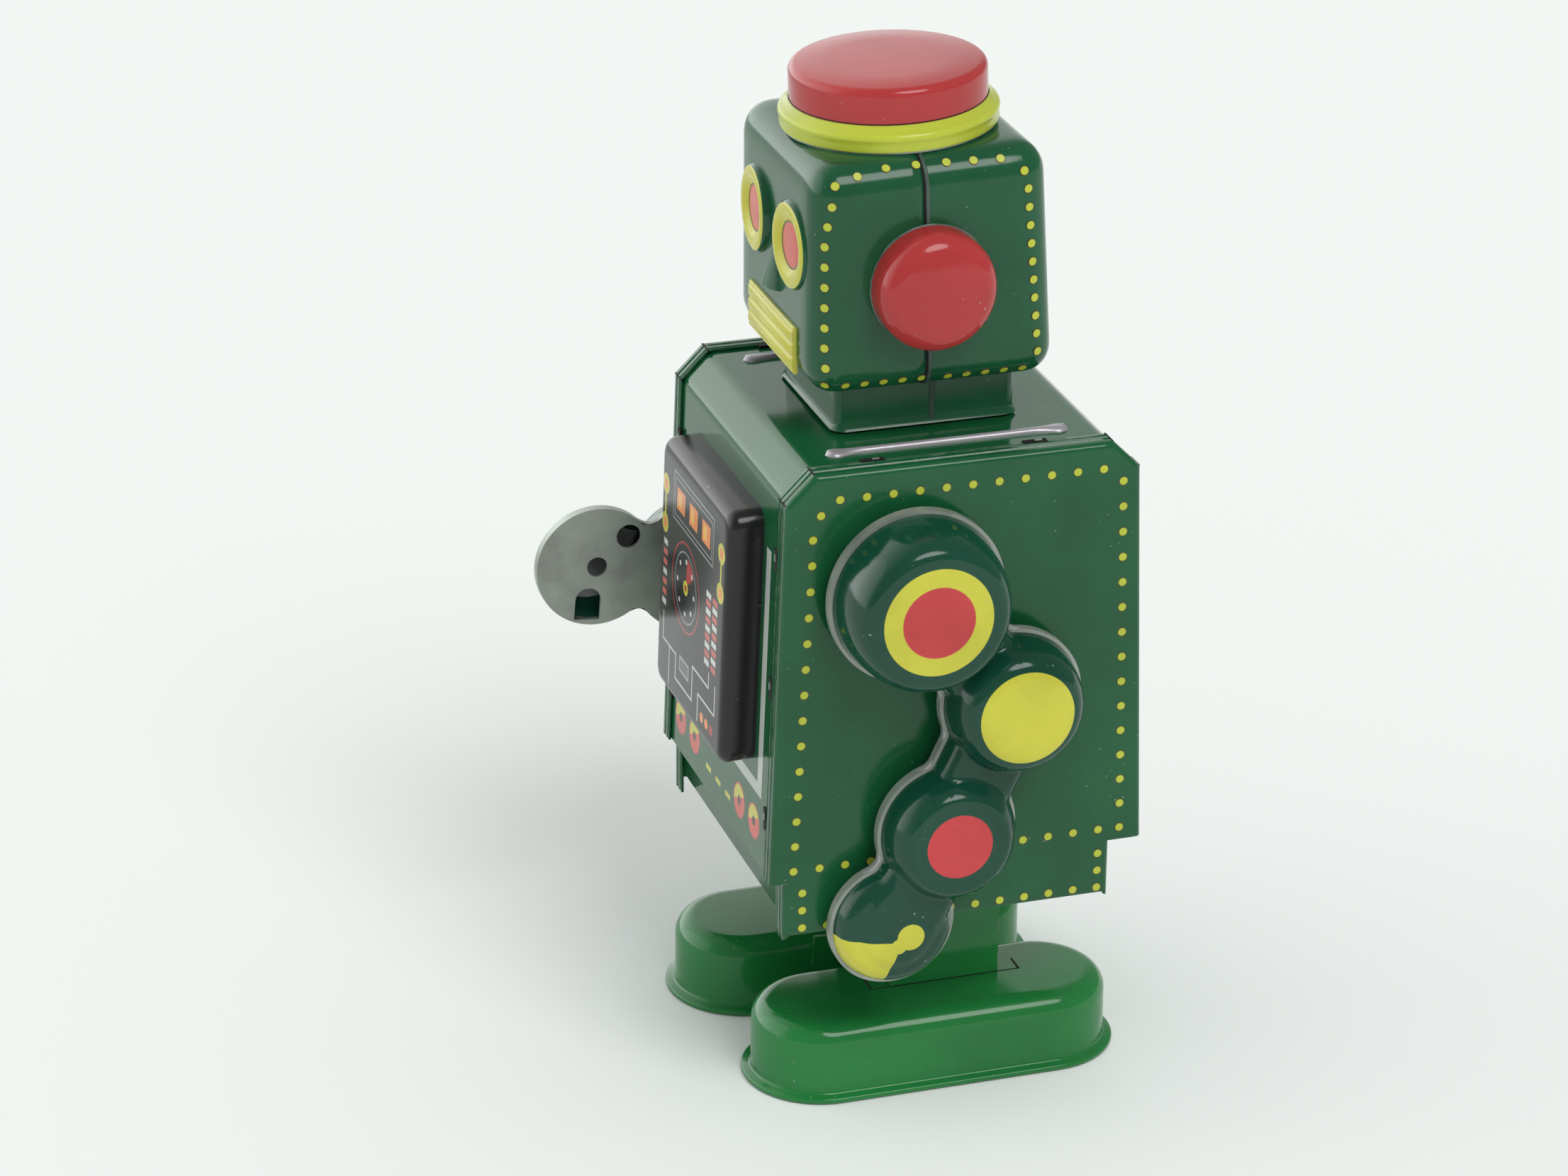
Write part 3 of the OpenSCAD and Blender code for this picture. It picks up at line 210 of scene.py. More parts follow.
# %% A helper for shader nodes
class Finish:
    """A material under construction, in which every pattern reads the object coordinates."""

    def __init__(self, name, roughness=0.3, metallic=0.0):
        self.material = bpy.data.materials.new(name)
        self.material.use_nodes = True
        self.tree = self.material.node_tree
        self.shader = self.tree.nodes["Principled BSDF"]
        self.shader.inputs["Roughness"].default_value = roughness
        self.shader.inputs["Metallic"].default_value = metallic
        coordinates = self.tree.nodes.new("ShaderNodeTexCoord")
        self.place = coordinates.outputs["Object"]
        self.axes = self.tree.nodes.new("ShaderNodeSeparateXYZ")
        self.tree.links.new(self.place, self.axes.inputs[0])

    def feed(self, value, socket):
        """Joins an output to a socket, or sets the socket to a plain value or colour."""
        if isinstance(value, bpy.types.NodeSocket):
            self.tree.links.new(value, socket)
        else:
            socket.default_value = (*value, 1) if isinstance(value, tuple) else value

    def math(self, operation, first, second=0.0, third=0.0):
        node = self.tree.nodes.new("ShaderNodeMath")
        node.operation = operation
        for value, socket in zip((first, second, third), node.inputs):
            self.feed(value, socket)
        return node.outputs[0]

    def noise(self, per_mm, detail=3.0, roughness=0.55):
        """Noise with about per_mm features to the millimetre."""
        node = self.tree.nodes.new("ShaderNodeTexNoise")
        node.inputs["Scale"].default_value = per_mm / MM
        node.inputs["Detail"].default_value = detail
        node.inputs["Roughness"].default_value = roughness
        self.tree.links.new(self.place, node.inputs["Vector"])
        return node.outputs["Fac"]

    def step(self, value, start, end):
        """0 below start, 1 above end, and smooth between them. Start may be above end."""
        node = self.tree.nodes.new("ShaderNodeMapRange")
        node.interpolation_type = "SMOOTHSTEP"
        self.feed(value, node.inputs["Value"])
        low, high = min(start, end), max(start, end)
        node.inputs["From Min"].default_value = low
        node.inputs["From Max"].default_value = high
        node.inputs["To Min"].default_value = 0.0 if start < end else 1.0
        node.inputs["To Max"].default_value = 1.0 if start < end else 0.0
        return node.outputs["Result"]

    def mix(self, mask, below, above):
        """The colour below where mask is 0, and above where it is 1."""
        node = self.tree.nodes.new("ShaderNodeMix")
        node.data_type = "RGBA"
        self.feed(mask, node.inputs["Factor"])
        self.feed(below, node.inputs[6])
        self.feed(above, node.inputs[7])
        return node.outputs[2]

    def distance(self, point, across):
        """Distance in metres from a line through point (frame millimetres) along the axis across."""
        squares = []
        for index, axis in enumerate("XYZ"):
            if axis == across:
                continue
            offset = self.math("SUBTRACT", self.axes.outputs[axis], point[index] * MM)
            squares.append(self.math("MULTIPLY", offset, offset))
        return self.math("SQRT", self.math("ADD", squares[0], squares[1]))

    def disc(self, point, radius, across, soft=0.06):
        """A printed disc: 1 within radius of the line through point along across."""
        edge = self.distance(point, across)
        return self.step(edge, (radius + soft) * MM, (radius - soft) * MM)

    def slope(self, first, second, plane="YZ"):
        """1 on the left of the line from first to second, seen with the plane's first axis to the right."""
        (a, b), (c, d) = first, second
        length = math.hypot(c - a, d - b)
        across = self.math("MULTIPLY", self.axes.outputs[plane[0]], -(d - b) / length)
        along = self.math("MULTIPLY_ADD", self.axes.outputs[plane[1]], (c - a) / length, across)
        offset = (-(d - b) * a + (c - a) * b) / length
        return self.step(along, (offset - 0.05) * MM, (offset + 0.05) * MM)

    def band(self, axis, low, high, soft=0.04):
        """1 between two places along an axis, in frame millimetres."""
        rise = self.step(self.axes.outputs[axis], (low - soft) * MM, (low + soft) * MM)
        fall = self.step(self.axes.outputs[axis], (high + soft) * MM, (high - soft) * MM)
        return self.math("MULTIPLY", rise, fall)

    def both(self, *masks):
        result = masks[0]
        for mask in masks[1:]:
            result = self.math("MULTIPLY", result, mask)
        return result

    def bump(self, height, strength, distance):
        node = self.tree.nodes.new("ShaderNodeBump")
        node.inputs["Strength"].default_value = strength
        node.inputs["Distance"].default_value = distance * MM
        self.tree.links.new(height, node.inputs["Height"])
        self.tree.links.new(node.outputs["Normal"], self.shader.inputs["Normal"])

    def colour(self, value):
        self.feed(value, self.shader.inputs["Base Color"])


print("finish helper ready")

# %% [markdown]
# Sixty years of play leave fine scratches, pinhead chips down to bare metal, and pale worn edges. `worn`
# lays those over any printed colour: two noises make the chips, and the bevel node finds the edges.

# %% Colours and wear
def srgb(red, green, blue):
    """A colour from its 0 to 255 screen values, as linear light."""
    return tuple(((v / 255 + 0.055) / 1.055) ** 2.4 if v > 10 else v / 255 / 12.92 for v in (red, green, blue))


GREEN_BODY = srgb(4, 86, 46)
GREEN_HEAD = srgb(6, 82, 48)
GREEN_FOOT = srgb(2, 116, 46)
GREEN_ARM = srgb(4, 66, 48)
RED = srgb(174, 6, 14)
PRINT_RED = srgb(190, 14, 26)
YELLOW = srgb(198, 194, 20)
LIME = srgb(184, 196, 10)
ORANGE = srgb(232, 130, 40)
BARE = srgb(160, 160, 156)


def worn(finish, colour, cloud=0.12, chips=0.5, edges=0.5):
    """Lays tone, chips and worn edges over a printed colour, and sets roughness and bump to match."""
    tone = finish.step(finish.noise(0.06, 4), 0.3, 0.7)
    dull = finish.tree.nodes.new("ShaderNodeHueSaturation")
    dull.inputs["Saturation"].default_value = 0.92
    finish.feed(finish.math("MULTIPLY_ADD", tone, 2 * cloud, 1 - cloud), dull.inputs["Value"])
    finish.feed(colour, dull.inputs["Color"])
    grain = finish.noise(1.6, 3)
    patchy = finish.noise(0.11, 2)
    chip = finish.both(finish.step(grain, 0.725 - 0.03 * chips, 0.74), finish.step(patchy, 0.47, 0.57))
    bevel = finish.tree.nodes.new("ShaderNodeBevel")
    bevel.samples = 4
    bevel.inputs["Radius"].default_value = 0.35 * MM
    geometry = finish.tree.nodes.new("ShaderNodeNewGeometry")
    dot = finish.tree.nodes.new("ShaderNodeVectorMath")
    dot.operation = "DOT_PRODUCT"
    finish.tree.links.new(bevel.outputs[0], dot.inputs[0])
    finish.tree.links.new(geometry.outputs["Normal"], dot.inputs[1])
    turned = finish.step(dot.outputs["Value"], 0.97, 0.86)
    rub = finish.both(turned, finish.step(finish.noise(0.5, 4), 0.42, 0.62), edges)
    marked = finish.mix(chip, dull.outputs[0], BARE)
    finish.colour(finish.mix(rub, marked, BARE))
    fine = finish.noise(2.2, 2)
    rough = finish.shader.inputs["Roughness"].default_value
    finish.feed(finish.math("MULTIPLY_ADD", fine, 0.1, rough - 0.05), finish.shader.inputs["Roughness"])
    finish.shader.inputs["IOR"].default_value = 1.43
    finish.bump(finish.math("MULTIPLY_ADD", finish.noise(0.35, 2), 0.6, fine), 0.05, 0.03)
    return finish.material


def enamel(name, colour, roughness=0.13, **wear):
    return worn(Finish(name, roughness), colour, **wear)


print("colours ready")

# %% Plain finishes
def metal(name, colour, roughness, streak=0.35, metallic=1.0):
    """A bare metal with fine rolling marks and a little tarnish."""
    finish = Finish(name, roughness, metallic)
    tarnish = finish.step(finish.noise(0.12, 4), 0.35, 0.75)
    finish.colour(finish.mix(tarnish, colour, tuple(v * (1 - streak) for v in colour)))
    fine = finish.noise(2.5, 4)
    finish.feed(finish.math("MULTIPLY_ADD", fine, 0.2, roughness - 0.1), finish.shader.inputs["Roughness"])
    finish.bump(fine, 0.15, 0.02)
    return finish.material


body_enamel = enamel("body_enamel", GREEN_BODY)
foot_enamel = enamel("foot_enamel", GREEN_FOOT)
red_enamel = enamel("red_enamel", RED, cloud=0.06)
lime_enamel = enamel("lime_enamel", LIME, 0.2, cloud=0.05, chips=1.2)
dot_ink = enamel("dot_ink", LIME, 0.35, cloud=0.08, chips=1.5, edges=0.0)
dot_edge_ink = enamel("dot_edge_ink", srgb(96, 60, 30), 0.4, cloud=0.05, edges=0.0)
bare_tin = metal("bare_tin", srgb(172, 178, 170), 0.45, metallic=0.55)
crimp_tin = metal("crimp_tin", srgb(170, 172, 172), 0.36, metallic=0.35, streak=0.5)
strap_tin = metal("strap_tin", srgb(176, 172, 178), 0.3, metallic=0.4, streak=0.15)
seam_metal = worn(Finish("seam_metal", 0.35), srgb(62, 84, 72), cloud=0.3, chips=3.0, edges=0.9)
plain_steel = metal("plain_steel", srgb(186, 186, 182), 0.34)
blued_steel = metal("blued_steel", srgb(86, 98, 132), 0.3)
wheel_brass = metal("wheel_brass", srgb(214, 180, 104), 0.3)
dull_nickel = metal("dull_nickel", srgb(200, 196, 186), 0.26)
roller_black = enamel("roller_black", srgb(34, 34, 34), 0.5, edges=0.0)
print("plain finishes:", len(bpy.data.materials))

# %% [markdown]
# ## Turning points into pieces
#
# `make_piece` is the one way that a mesh enters the scene: it joins doubled points, makes the faces look
# outwards, and says which body the piece rides on, which finish slot it takes and what it replaces.

# %% Making a piece
def make_piece(name, points, faces, material, body, replaces=(), mend=True, smooth=35):
    """A mesh from millimetre points and faces, riding on a body."""
    mesh = bpy.data.meshes.new(name)
    mesh.from_pydata([to_frame(p) for p in points], [], faces)
    if mend:
        shape = bmesh.new()
        shape.from_mesh(mesh)
        bmesh.ops.remove_doubles(shape, verts=shape.verts, dist=0.002 * MM)
        bmesh.ops.dissolve_degenerate(shape, edges=shape.edges, dist=0.001 * MM)
        bmesh.ops.recalc_face_normals(shape, faces=shape.faces)
        shape.to_mesh(mesh)
        shape.free()
    return finish_piece(bpy.data.objects.new(name, mesh), material, body, replaces, smooth)


def finish_piece(piece, material, body, replaces=(), smooth=35):
    """Links a piece, gives it its finish and its body, and smooths it below a crease angle in degrees."""
    bpy.context.scene.collection.objects.link(piece)
    piece.data.materials.append(material)
    piece.data.shade_smooth()
    piece.data.set_sharp_from_angle(angle=math.radians(smooth))
    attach(piece, body)
    if replaces:
        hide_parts(*replaces)
    return piece


def thicken(piece, thickness):
    """Gives an open sheet the tin's thickness, inwards, as a plain mesh."""
    shell = piece.modifiers.new("tin", "SOLIDIFY")
    shell.thickness = thickness * MM
    shell.offset = -1
    bake_modifiers(piece)


def bake_modifiers(piece):
    """Replaces a piece's mesh by what its modifiers make of it."""
    depsgraph = bpy.context.evaluated_depsgraph_get()
    made = bpy.data.meshes.new_from_object(piece.evaluated_get(depsgraph), depsgraph=depsgraph)
    piece.modifiers.clear()
    piece.data = made


def loft(rings, closed=True):
    """Faces that join rings of equally many points, one ring after the other."""
    points = [p for ring in rings for p in ring]
    count = len(rings[0])
    last = count if closed else count - 1
    faces = []
    for r in range(len(rings) - 1):
        for i in range(last):
            j = (i + 1) % count
            faces.append((r * count + i, r * count + j, (r + 1) * count + j, (r + 1) * count + i))
    return points, faces


def lofted(name, rings, material, body, replaces=(), closed=True, lid=False, smooth=35):
    """A piece whose skin joins rings of points; a lid closes the last ring."""
    points, faces = loft(rings, closed)
    if lid:
        faces.append(tuple(range(len(points) - len(rings[0]), len(points))))
    return make_piece(name, points, faces, material, body, replaces, smooth=smooth)


def between(a, b, count):
    """Evenly spaced points from a up to b, b left out."""
    return [(a[0] + (b[0] - a[0]) * i / count, a[1] + (b[1] - a[1]) * i / count) for i in range(count)]


def rounded_rectangle(half_x, half_y, radius, steps=6):
    """Points of a rounded rectangle round the origin, anticlockwise."""
    points = []
    for quarter, (cx, cy) in enumerate(((1, 1), (-1, 1), (-1, -1), (1, -1))):
        for i in range(steps + 1):
            a = math.radians(90 * quarter + 90 * i / steps)
            points.append((cx * (half_x - radius) + radius * math.cos(a),
                           cy * (half_y - radius) + radius * math.sin(a)))
    return points


def turned(profile, place, segments=96):
    """Rings of a turned piece: profile holds (radius, height), and place puts (x, y, height) in the frame."""
    angles = [2 * math.pi * i / segments for i in range(segments)]
    return [[place(radius * math.cos(a), radius * math.sin(a), height) for a in angles]
            for radius, height in profile]


def arc(centre_r, centre_h, radius, start, end, steps=6):
    """Profile points along an arc, from start to end degrees."""
    angles = [math.radians(start + (end - start) * i / steps) for i in range(steps + 1)]
    return [(centre_r + radius * math.cos(a), centre_h + radius * math.sin(a)) for a in angles]


print("mesh helpers ready")

# %% [markdown]
# ## Side plates
#
# Each side of the body is a shallow tray, flanged over the wrap. A press can't make a sharp corner, so the
# plate is swept from its outline: a flat face, a small bend, then the flange, which is notched at each
# corner where the tin would otherwise buckle.

# %% Body outline
wall_depth_top = 50.4
wall_depth_low = plate_high.y * 2
upper_low = body_top - 60
slope_top = body_top - 4.0
corner = 4.0
pelvis_low = plate_low.z
pelvis_front = wall_depth_low / 2 - 1.9
pelvis_rear = wall_depth_low / 2 - 4.7
tin = 0.4
bend_r = 0.9
flange_x = side_x - 3.5
half_turn = math.tan(math.radians(22.5))
flange_grooves = [(25.0, 0.0), (24.85, 0.2), (24.6, 0.2), (24.45, 0.0), (23.75, 0.0), (23.6, 0.14), (23.4, 0.14),
                  (23.25, 0.0), (flange_x, 0.0)]


def wall_y(z):
    """Half the depth of the upper body at height z."""
    return wall_depth_low / 2 + (wall_depth_top - wall_depth_low) / 2 * (z - upper_low) / (slope_top - upper_low)


def body_outline(inset):
    """The side outline from front foot to rear foot, moved inwards."""
    reach = half_turn * inset
    return [
        (-pelvis_front + inset, pelvis_low + inset), (-pelvis_front + inset, upper_low),
        (-wall_y(upper_low) + inset, upper_low + 0.01 * inset),
        (-wall_depth_top / 2 + inset, slope_top - reach),
        (-wall_depth_top / 2 + corner + reach, body_top - inset),
        (wall_depth_top / 2 - corner - reach, body_top - inset),
        (wall_depth_top / 2 - inset, slope_top - reach),
        (wall_y(upper_low) - inset, upper_low + 0.01 * inset),
        (pelvis_rear - inset, upper_low), (pelvis_rear - inset, pelvis_low + inset)]


print("outline points", len(body_outline(0)))


# %% Side plate
bend_steps = 6


def side_plate(side):
    """One flanged side plate; side is 1 for the left and -1 for the right."""
    base = body_outline(0)
    counts = [max(1, round(math.dist(a, b) / 1.2)) for a, b in zip(base, base[1:])]
    counts[1], counts[7] = 2, 2
    ends = [sum(counts[:i]) for i in range(len(counts) + 1)]

    def ring_at(x, inset):
        outline, ring = body_outline(inset), []
        for a, b, count in zip(outline, outline[1:], counts):
            ring += between(a, b, count)
        return [(side * x, y, z) for y, z in ring + [outline[-1]]]

    bend = [math.radians(90 * step / bend_steps) for step in range(bend_steps + 1)]
    rings = [ring_at(side_x - bend_r * (1 - math.cos(a)), bend_r * (1 - math.sin(a))) for a in bend]
    rings += [ring_at(x, inset) for x, inset in flange_grooves]
    points, faces = loft(rings, closed=False)

    def in_notch(index):
        row, column = divmod(index, len(rings[0]) - 1)
        return row >= bend_steps and (ends[1] <= column < ends[2] or ends[7] <= column < ends[8])

    kept = [face for index, face in enumerate(faces) if not in_notch(index)] + [tuple(range(len(rings[0])))]
    plate = make_piece(f"side_plate_{word_of(side)}_skin", points, kept, body_enamel, "body",
                       [f"side_plate_{word_of(side)}"], smooth=40)
    thicken(plate, tin * 0.9)
    return plate


for side in (1, -1):
    plate = side_plate(side)
    print(plate.name, len(plate.data.polygons), "faces")

# %% [markdown]
# ## Wrap
#
# One strip of tin runs from the front of the pelvis over the shoulders to the rear. It is bent over a
# soft tool, so its folds are arcs. Two straps are pressed out of its top, and the side plates' tabs come
# through short slots.

# %% Wrap path
def filleted(path, radii):
    """The path with each inner corner replaced by an arc of the given radius."""
    result = [path[0]]
    for (a, b, c), radius in zip(zip(path, path[1:], path[2:]), radii):
        a, b, c = Vector(a), Vector(b), Vector(c)
        back, on = (a - b).normalized(), (c - b).normalized()
        turn = math.pi - back.angle(on)
        if radius <= 0 or turn < 0.01:
            result.append(tuple(b))
            continue
        reach = radius * math.tan(turn / 2)
        centre = b + (back + on).normalized() * (radius / math.cos(turn / 2))
        first = b + back * reach - centre
        steps = max(2, round(math.degrees(turn) / 9))
        way = 1 if first.cross(b + on * reach - centre) > 0 else -1
        for i in range(steps + 1):
            a_ = way * turn * i / steps
            result.append((centre.x + first.x * math.cos(a_) - first.y * math.sin(a_),
                           centre.y + first.x * math.sin(a_) + first.y * math.cos(a_)))
    return result + [path[-1]]


outline = body_outline(tin)
wrap_path = [(outline[0][0], 30.9)] + outline[1:-1] + [(outline[-1][0], 30.9)]
wrap_line = filleted(wrap_path, [0.3, 0.3, 2.6, 2.6, 2.6, 2.6, 0.3, 0.3])
print("wrap path", len(wrap_line), "points")


# %% Wrap finish
def wrap_finish():
    """Green enamel with printed dials and dashes below the chest cover, and pale strips at its sides and foot
    that are a painted reflection of a metal edge.
    """
    finish = Finish("wrap_enamel", 0.12)
    face = finish.step(finish.axes.outputs["Y"], (middle_y - 24.5) * MM, (middle_y - 25.0) * MM)
    colour = GREEN_BODY
    # painted reflection: the pale strips next to the chest cover and under it stand in for light caught by a
    # metal edge
    pale = srgb(190, 196, 190)
    for low, high in ((17.6, 19.6), (-19.6, -17.6)):
        sheen_beside = finish.both(finish.band("X", low, high), finish.band("Z", 47.4, 83.4), face)
        colour = finish.mix(sheen_beside, colour, pale)
    # painted reflection, the same pale strip under the cover
    below = finish.both(finish.band("X", -19.6, 19.6), finish.band("Z", 46.6, 48.4), face)
    colour = finish.mix(below, colour, pale)
    for x in (-18.6, -11.8, 9.9, 16.7):
        dial = (x, 0, 42.0)
        colour = finish.mix(finish.both(finish.disc(dial, 2.7, "Y"), face), colour, srgb(120, 60, 24))
        colour = finish.mix(finish.both(finish.disc(dial, 2.5, "Y"), face), colour, srgb(206, 62, 40))
        fan = finish.slope((x - 2.4, 41.4), (x + 2.4, 43.4), "XZ")
        colour = finish.mix(finish.both(finish.disc(dial, 2.3, "Y"), fan, face), colour, YELLOW)
        colour = finish.mix(finish.both(finish.disc(dial, 0.7, "Y"), face), colour, srgb(60, 40, 24))
    for x in (-4.6, 0.0, 4.6):
        dash = finish.both(finish.band("X", x - 1.2, x + 1.2), finish.band("Z", 39.9, 40.7), face)
        colour = finish.mix(dash, colour, YELLOW)
    return worn(finish, colour, chips=0.8)


wrap_enamel = wrap_finish()
wrap_x = [-flange_x - 2.6, -flange_x, -8.0, 8.0, flange_x, flange_x + 2.6]
wrap = lofted("wrap_skin", [[(x, y, z) for y, z in wrap_line] for x in wrap_x], wrap_enamel, "body",
              ["body_wrap"], closed=False, smooth=50)
thicken(wrap, tin * 0.9)
print(wrap.name, len(wrap.data.polygons), "faces")


# %% Straps and tabs
def strap(name, x, length):
    """A raised strap with rounded ends, pressed up out of the top of the wrap."""
    bar, bulb, height, reach = 0.6, 1.35, 0.7, 1.7
    rings = []
    for i in range(61):
        t = -length / 2 + length * i / 60
        end = length / 2 - abs(t)
        bulge = math.sqrt(max(0.0, 1 - ((end - reach) / reach) ** 2)) if end < 2 * reach else 0.0
        blend = min(1.0, max(0.0, (end - reach) / (2.2 * reach)))
        if end < reach:
            width = max(bulb * bulge, bar * min(1.0, end / 0.4 + 0.02))
        else:
            width = bar + (bulb - bar) * (1 - blend) ** 2
        rise = height * min(1.0, width / bar)
        rings.append([(x + width * math.cos(a), t, body_top - tin - 0.05 + rise * math.sin(a))
                      for a in [math.pi * k / 8 for k in range(9)]])
    lofted(name, rings, strap_tin, "body", closed=False, smooth=70)


def box_points(low, high):
    points = [(x, y, z) for x in (low[0], high[0]) for y in (low[1], high[1]) for z in (low[2], high[2])]
    faces = [(0, 1, 3, 2), (4, 6, 7, 5), (0, 4, 5, 1), (2, 3, 7, 6), (0, 2, 6, 4), (1, 5, 7, 3)]
    return points, faces


def tab(name, place, along, out):
    """A dark slot with a bent tab in it: along is the slot's direction and out the way the tab leans."""
    along, out = Vector(along), Vector(out)
    across = along.cross(out)
    parts = ((1.7, 0.55, tin + 0.05, slot_shade), (0.5, 0.14, tin + 0.2, bare_tin))
    for number, (half, width, lift, material) in enumerate(parts):
        points, faces = box_points((-half, -width, -0.3), (half, width, lift))
        placed = [Vector(place) + along * (p[0] + number * 0.5) + across * p[1] + out * p[2] for p in points]
        make_piece(f"{name}_{'shade' if number == 0 else 'tab'}", placed, faces, material, "body")


slot_shade = enamel("slot_shade", srgb(14, 16, 15), 0.8, edges=0.0, chips=0.0)
strap_x, strap_length = 18.6, 34.8
tab_x, tab_heights, tab_depths = 22.75, (45.1, 64.6, 83.4), (-12.1, 11.05)
notch_x = 24.4
across = Vector((1, 0, 0))
for side in (1, -1):
    word = word_of(side)
    strap(f"strap_{word}", side * strap_x, strap_length)
    for z in tab_heights:
        for place, way in (("front", -1), ("rear", 1)):
            foot = (side * tab_x, way * (wall_y(z) - tin), z)
            tab(f"tab_{place}_{word}_{round(z)}", foot, (0, 0, 1), (0, way, 0))
    for y in tab_depths:
        tab(f"tab_top_{word}_{round(y)}", (side * tab_x, y, body_top - tin), (0, 1, 0), (0, 0, 1))
    for place, way in (("front", -1), ("rear", 1)):
        for y, z, lean_y, lean_z in ((wall_depth_top / 2, slope_top, 0.92, 0.38),
                                     (wall_depth_top / 2 - corner, body_top, 0.38, 0.92)):
            out = Vector((0, way * lean_y, lean_z))
            along = across.cross(out)
            points, faces = box_points((-1.7, -0.11, -0.4), (1.3, 0.11, 0.05))
            placed = [Vector((side * notch_x, way * y, z)) + across * p[0] * side + along * p[1]
                      + out * (p[2] - 0.03) for p in points]
            make_piece(f"notch_{word}_{place}_{round(z)}", placed, faces, slot_shade, "body")
print("straps, tabs and notches made")

# %% [markdown]
# ## Legs, movement and other small parts
#
# These construction pieces are already as exact as the eye can tell, so they keep their own meshes and
# only take a finish.

# %% Finishes for construction pieces
finishes = {
    "body_wrap": body_enamel, "head_front": body_enamel, "head_rear": body_enamel,
    "leg_left": foot_enamel, "leg_right": foot_enamel,
}
steel_words = ("plate_left", "plate_right", "pillar", "pivot", "arbor", "crank_disc", "axle", "bush")
blue_words = ("spring", "click", "lever")
brass_words = ("wheel",)


def plain_finish(node):
    """The finish of a construction piece, from the words in its name."""
    if node in finishes:
        return finishes[node]
    if "roller" in node and "axle" not in node and "bracket" not in node:
        return roller_black
    for words, material in ((blue_words, blued_steel), (brass_words, wheel_brass), (steel_words, plain_steel)):
        if any(word in node for word in words):
            return material
    if "key" in node or "rivet" in node:
        return dull_nickel
    return bare_tin


for name, piece in frame["nodes"].items():
    piece.data.materials.clear()
    piece.data.materials.append(plain_finish(name))
print("construction pieces finished")

# %% [markdown]
# ## Chest cover
#
# The cover over the movement is a drawn tray with round edges, black at its sides. Its face carries a
# printed control desk of this lesson's own design: a dial, a bar meter, lamps, and white wiring.

# %% Chest finish
cover_z = 69.1
cover_half = (16.1, 18.7)


def chest_finish():
    """Black enamel with a printed control desk on its face."""
    finish = Finish("chest_enamel", 0.18)
    front = middle_y - wall_y(cover_z) - 3.2
    face = finish.step(finish.axes.outputs["Y"], front * MM, (front - 0.4) * MM)
    colour = srgb(32, 30, 32)
    grey, white = srgb(150, 150, 152), srgb(206, 208, 204)

    def at(a, b):
        return (a, 0, cover_z + b)

    def print_disc(place, radius, ink):
        nonlocal colour
        colour = finish.mix(finish.both(finish.disc(at(*place), radius, "Y"), face), colour, ink)

    def print_bar(left, right, low, high, ink):
        nonlocal colour
        bar = finish.both(finish.band("X", left, right), finish.band("Z", cover_z + low, cover_z + high), face)
        colour = finish.mix(bar, colour, ink)

    for inset, ink in ((0.0, grey), (0.25, srgb(36, 34, 36)), (0.8, grey), (1.0, srgb(40, 38, 40))):
        print_bar(-9.6 + inset, 9.6 - inset, 8.4 + inset, 15.6 - inset, ink)
    for x in (-6.0, 0.0, 6.0):
        print_bar(x - 1.9, x + 1.9, 10.4, 13.6, ORANGE)
        print_bar(x - 1.3, x + 0.2, 11.0, 13.0, srgb(236, 178, 60))
    for x in (-13.2, 13.2):
        for z in (12.0, 6.2):
            print_disc((x, z), 1.5, YELLOW)
            print_disc((x, z), 0.8, ORANGE)
        print_bar(x - 0.3, x + 0.3, 7.6, 10.6, YELLOW)
    for radius, ink in ((6.6, RED), (6.3, srgb(34, 32, 34)), (5.2, grey), (5.0, srgb(34, 32, 34))):
        print_disc((-2.6, 0.4), radius, ink)
    wedge = finish.both(finish.slope((-2.6, 0.5 + cover_z), (3.0, 4.6 + cover_z), "XZ"),
                        finish.slope((-2.0, 6.0 + cover_z), (-2.6, 0.4 + cover_z), "XZ"))
    colour = finish.mix(finish.both(wedge, finish.disc(at(-2.6, 0.4), 4.6, "Y"), face), colour, RED)
    for turn in range(0, 360, 45):
        a = math.radians(turn)
        print_disc((-2.6 + 3.9 * math.cos(a), 0.4 + 3.9 * math.sin(a)), 0.38, white)
    print_disc((-2.6, 0.4), 1.1, YELLOW)
    print_disc((-2.6, 0.4), 0.5, RED)
    for column, x in enumerate((8.2, 11.2)):
        for row in range(9):
            ink = srgb(196, 80, 66) if (row + column) % 2 else white
            print_bar(x - 1.1, x + 1.1, -6.6 + row * 1.25, -5.7 + row * 1.25, ink)
    for row in range(7):
        print_bar(-13.4, -11.6, -6.0 + row * 1.5, -5.1 + row * 1.5, srgb(206, 84, 70) if row % 3 else white)
    wiring = [(-12.6, -12.3, -11.0, -7.0), (-12.6, -6.0, -11.3, -11.0), (-6.3, -6.0, -14.6, -11.0),
              (-6.3, 2.0, -14.9, -14.6), (1.7, 2.0, -14.9, -9.4), (2.0, 9.6, -9.7, -9.4),
              (9.3, 9.6, -9.7, -7.2), (4.6, 12.6, -12.6, -12.3), (12.3, 12.6, -12.6, -8.0),
              (-9.4, -9.1, -17.0, -11.2), (4.6, 4.9, -16.6, -12.4)]
    for wire in wiring:
        print_bar(*wire, white)
    print_bar(-4.4, 0.2, -12.8, -10.4, grey)
    print_bar(-4.0, -0.2, -12.4, -10.8, srgb(88, 88, 92))
    for x in (6.8, 9.0, 11.2):
        print_disc((x, -15.2), 0.75, ORANGE if x < 10 else RED)
    return worn(finish, colour, cloud=0.1, chips=0.8, edges=0.25)


chest_enamel = chest_finish()
print("chest finish:", len(chest_enamel.node_tree.nodes), "shader nodes")


# %% Chest cover
lean_back = math.atan((wall_depth_low - wall_depth_top) / 2 / (slope_top - upper_low))


def cover_place(a, b, out):
    """A point of the cover: a across, b up the sloping front, out from the wrap's face."""
    return (a, -wall_y(cover_z) + tin + b * math.sin(lean_back) - out * math.cos(lean_back),
            cover_z + b * math.cos(lean_back) - out * math.sin(lean_back))


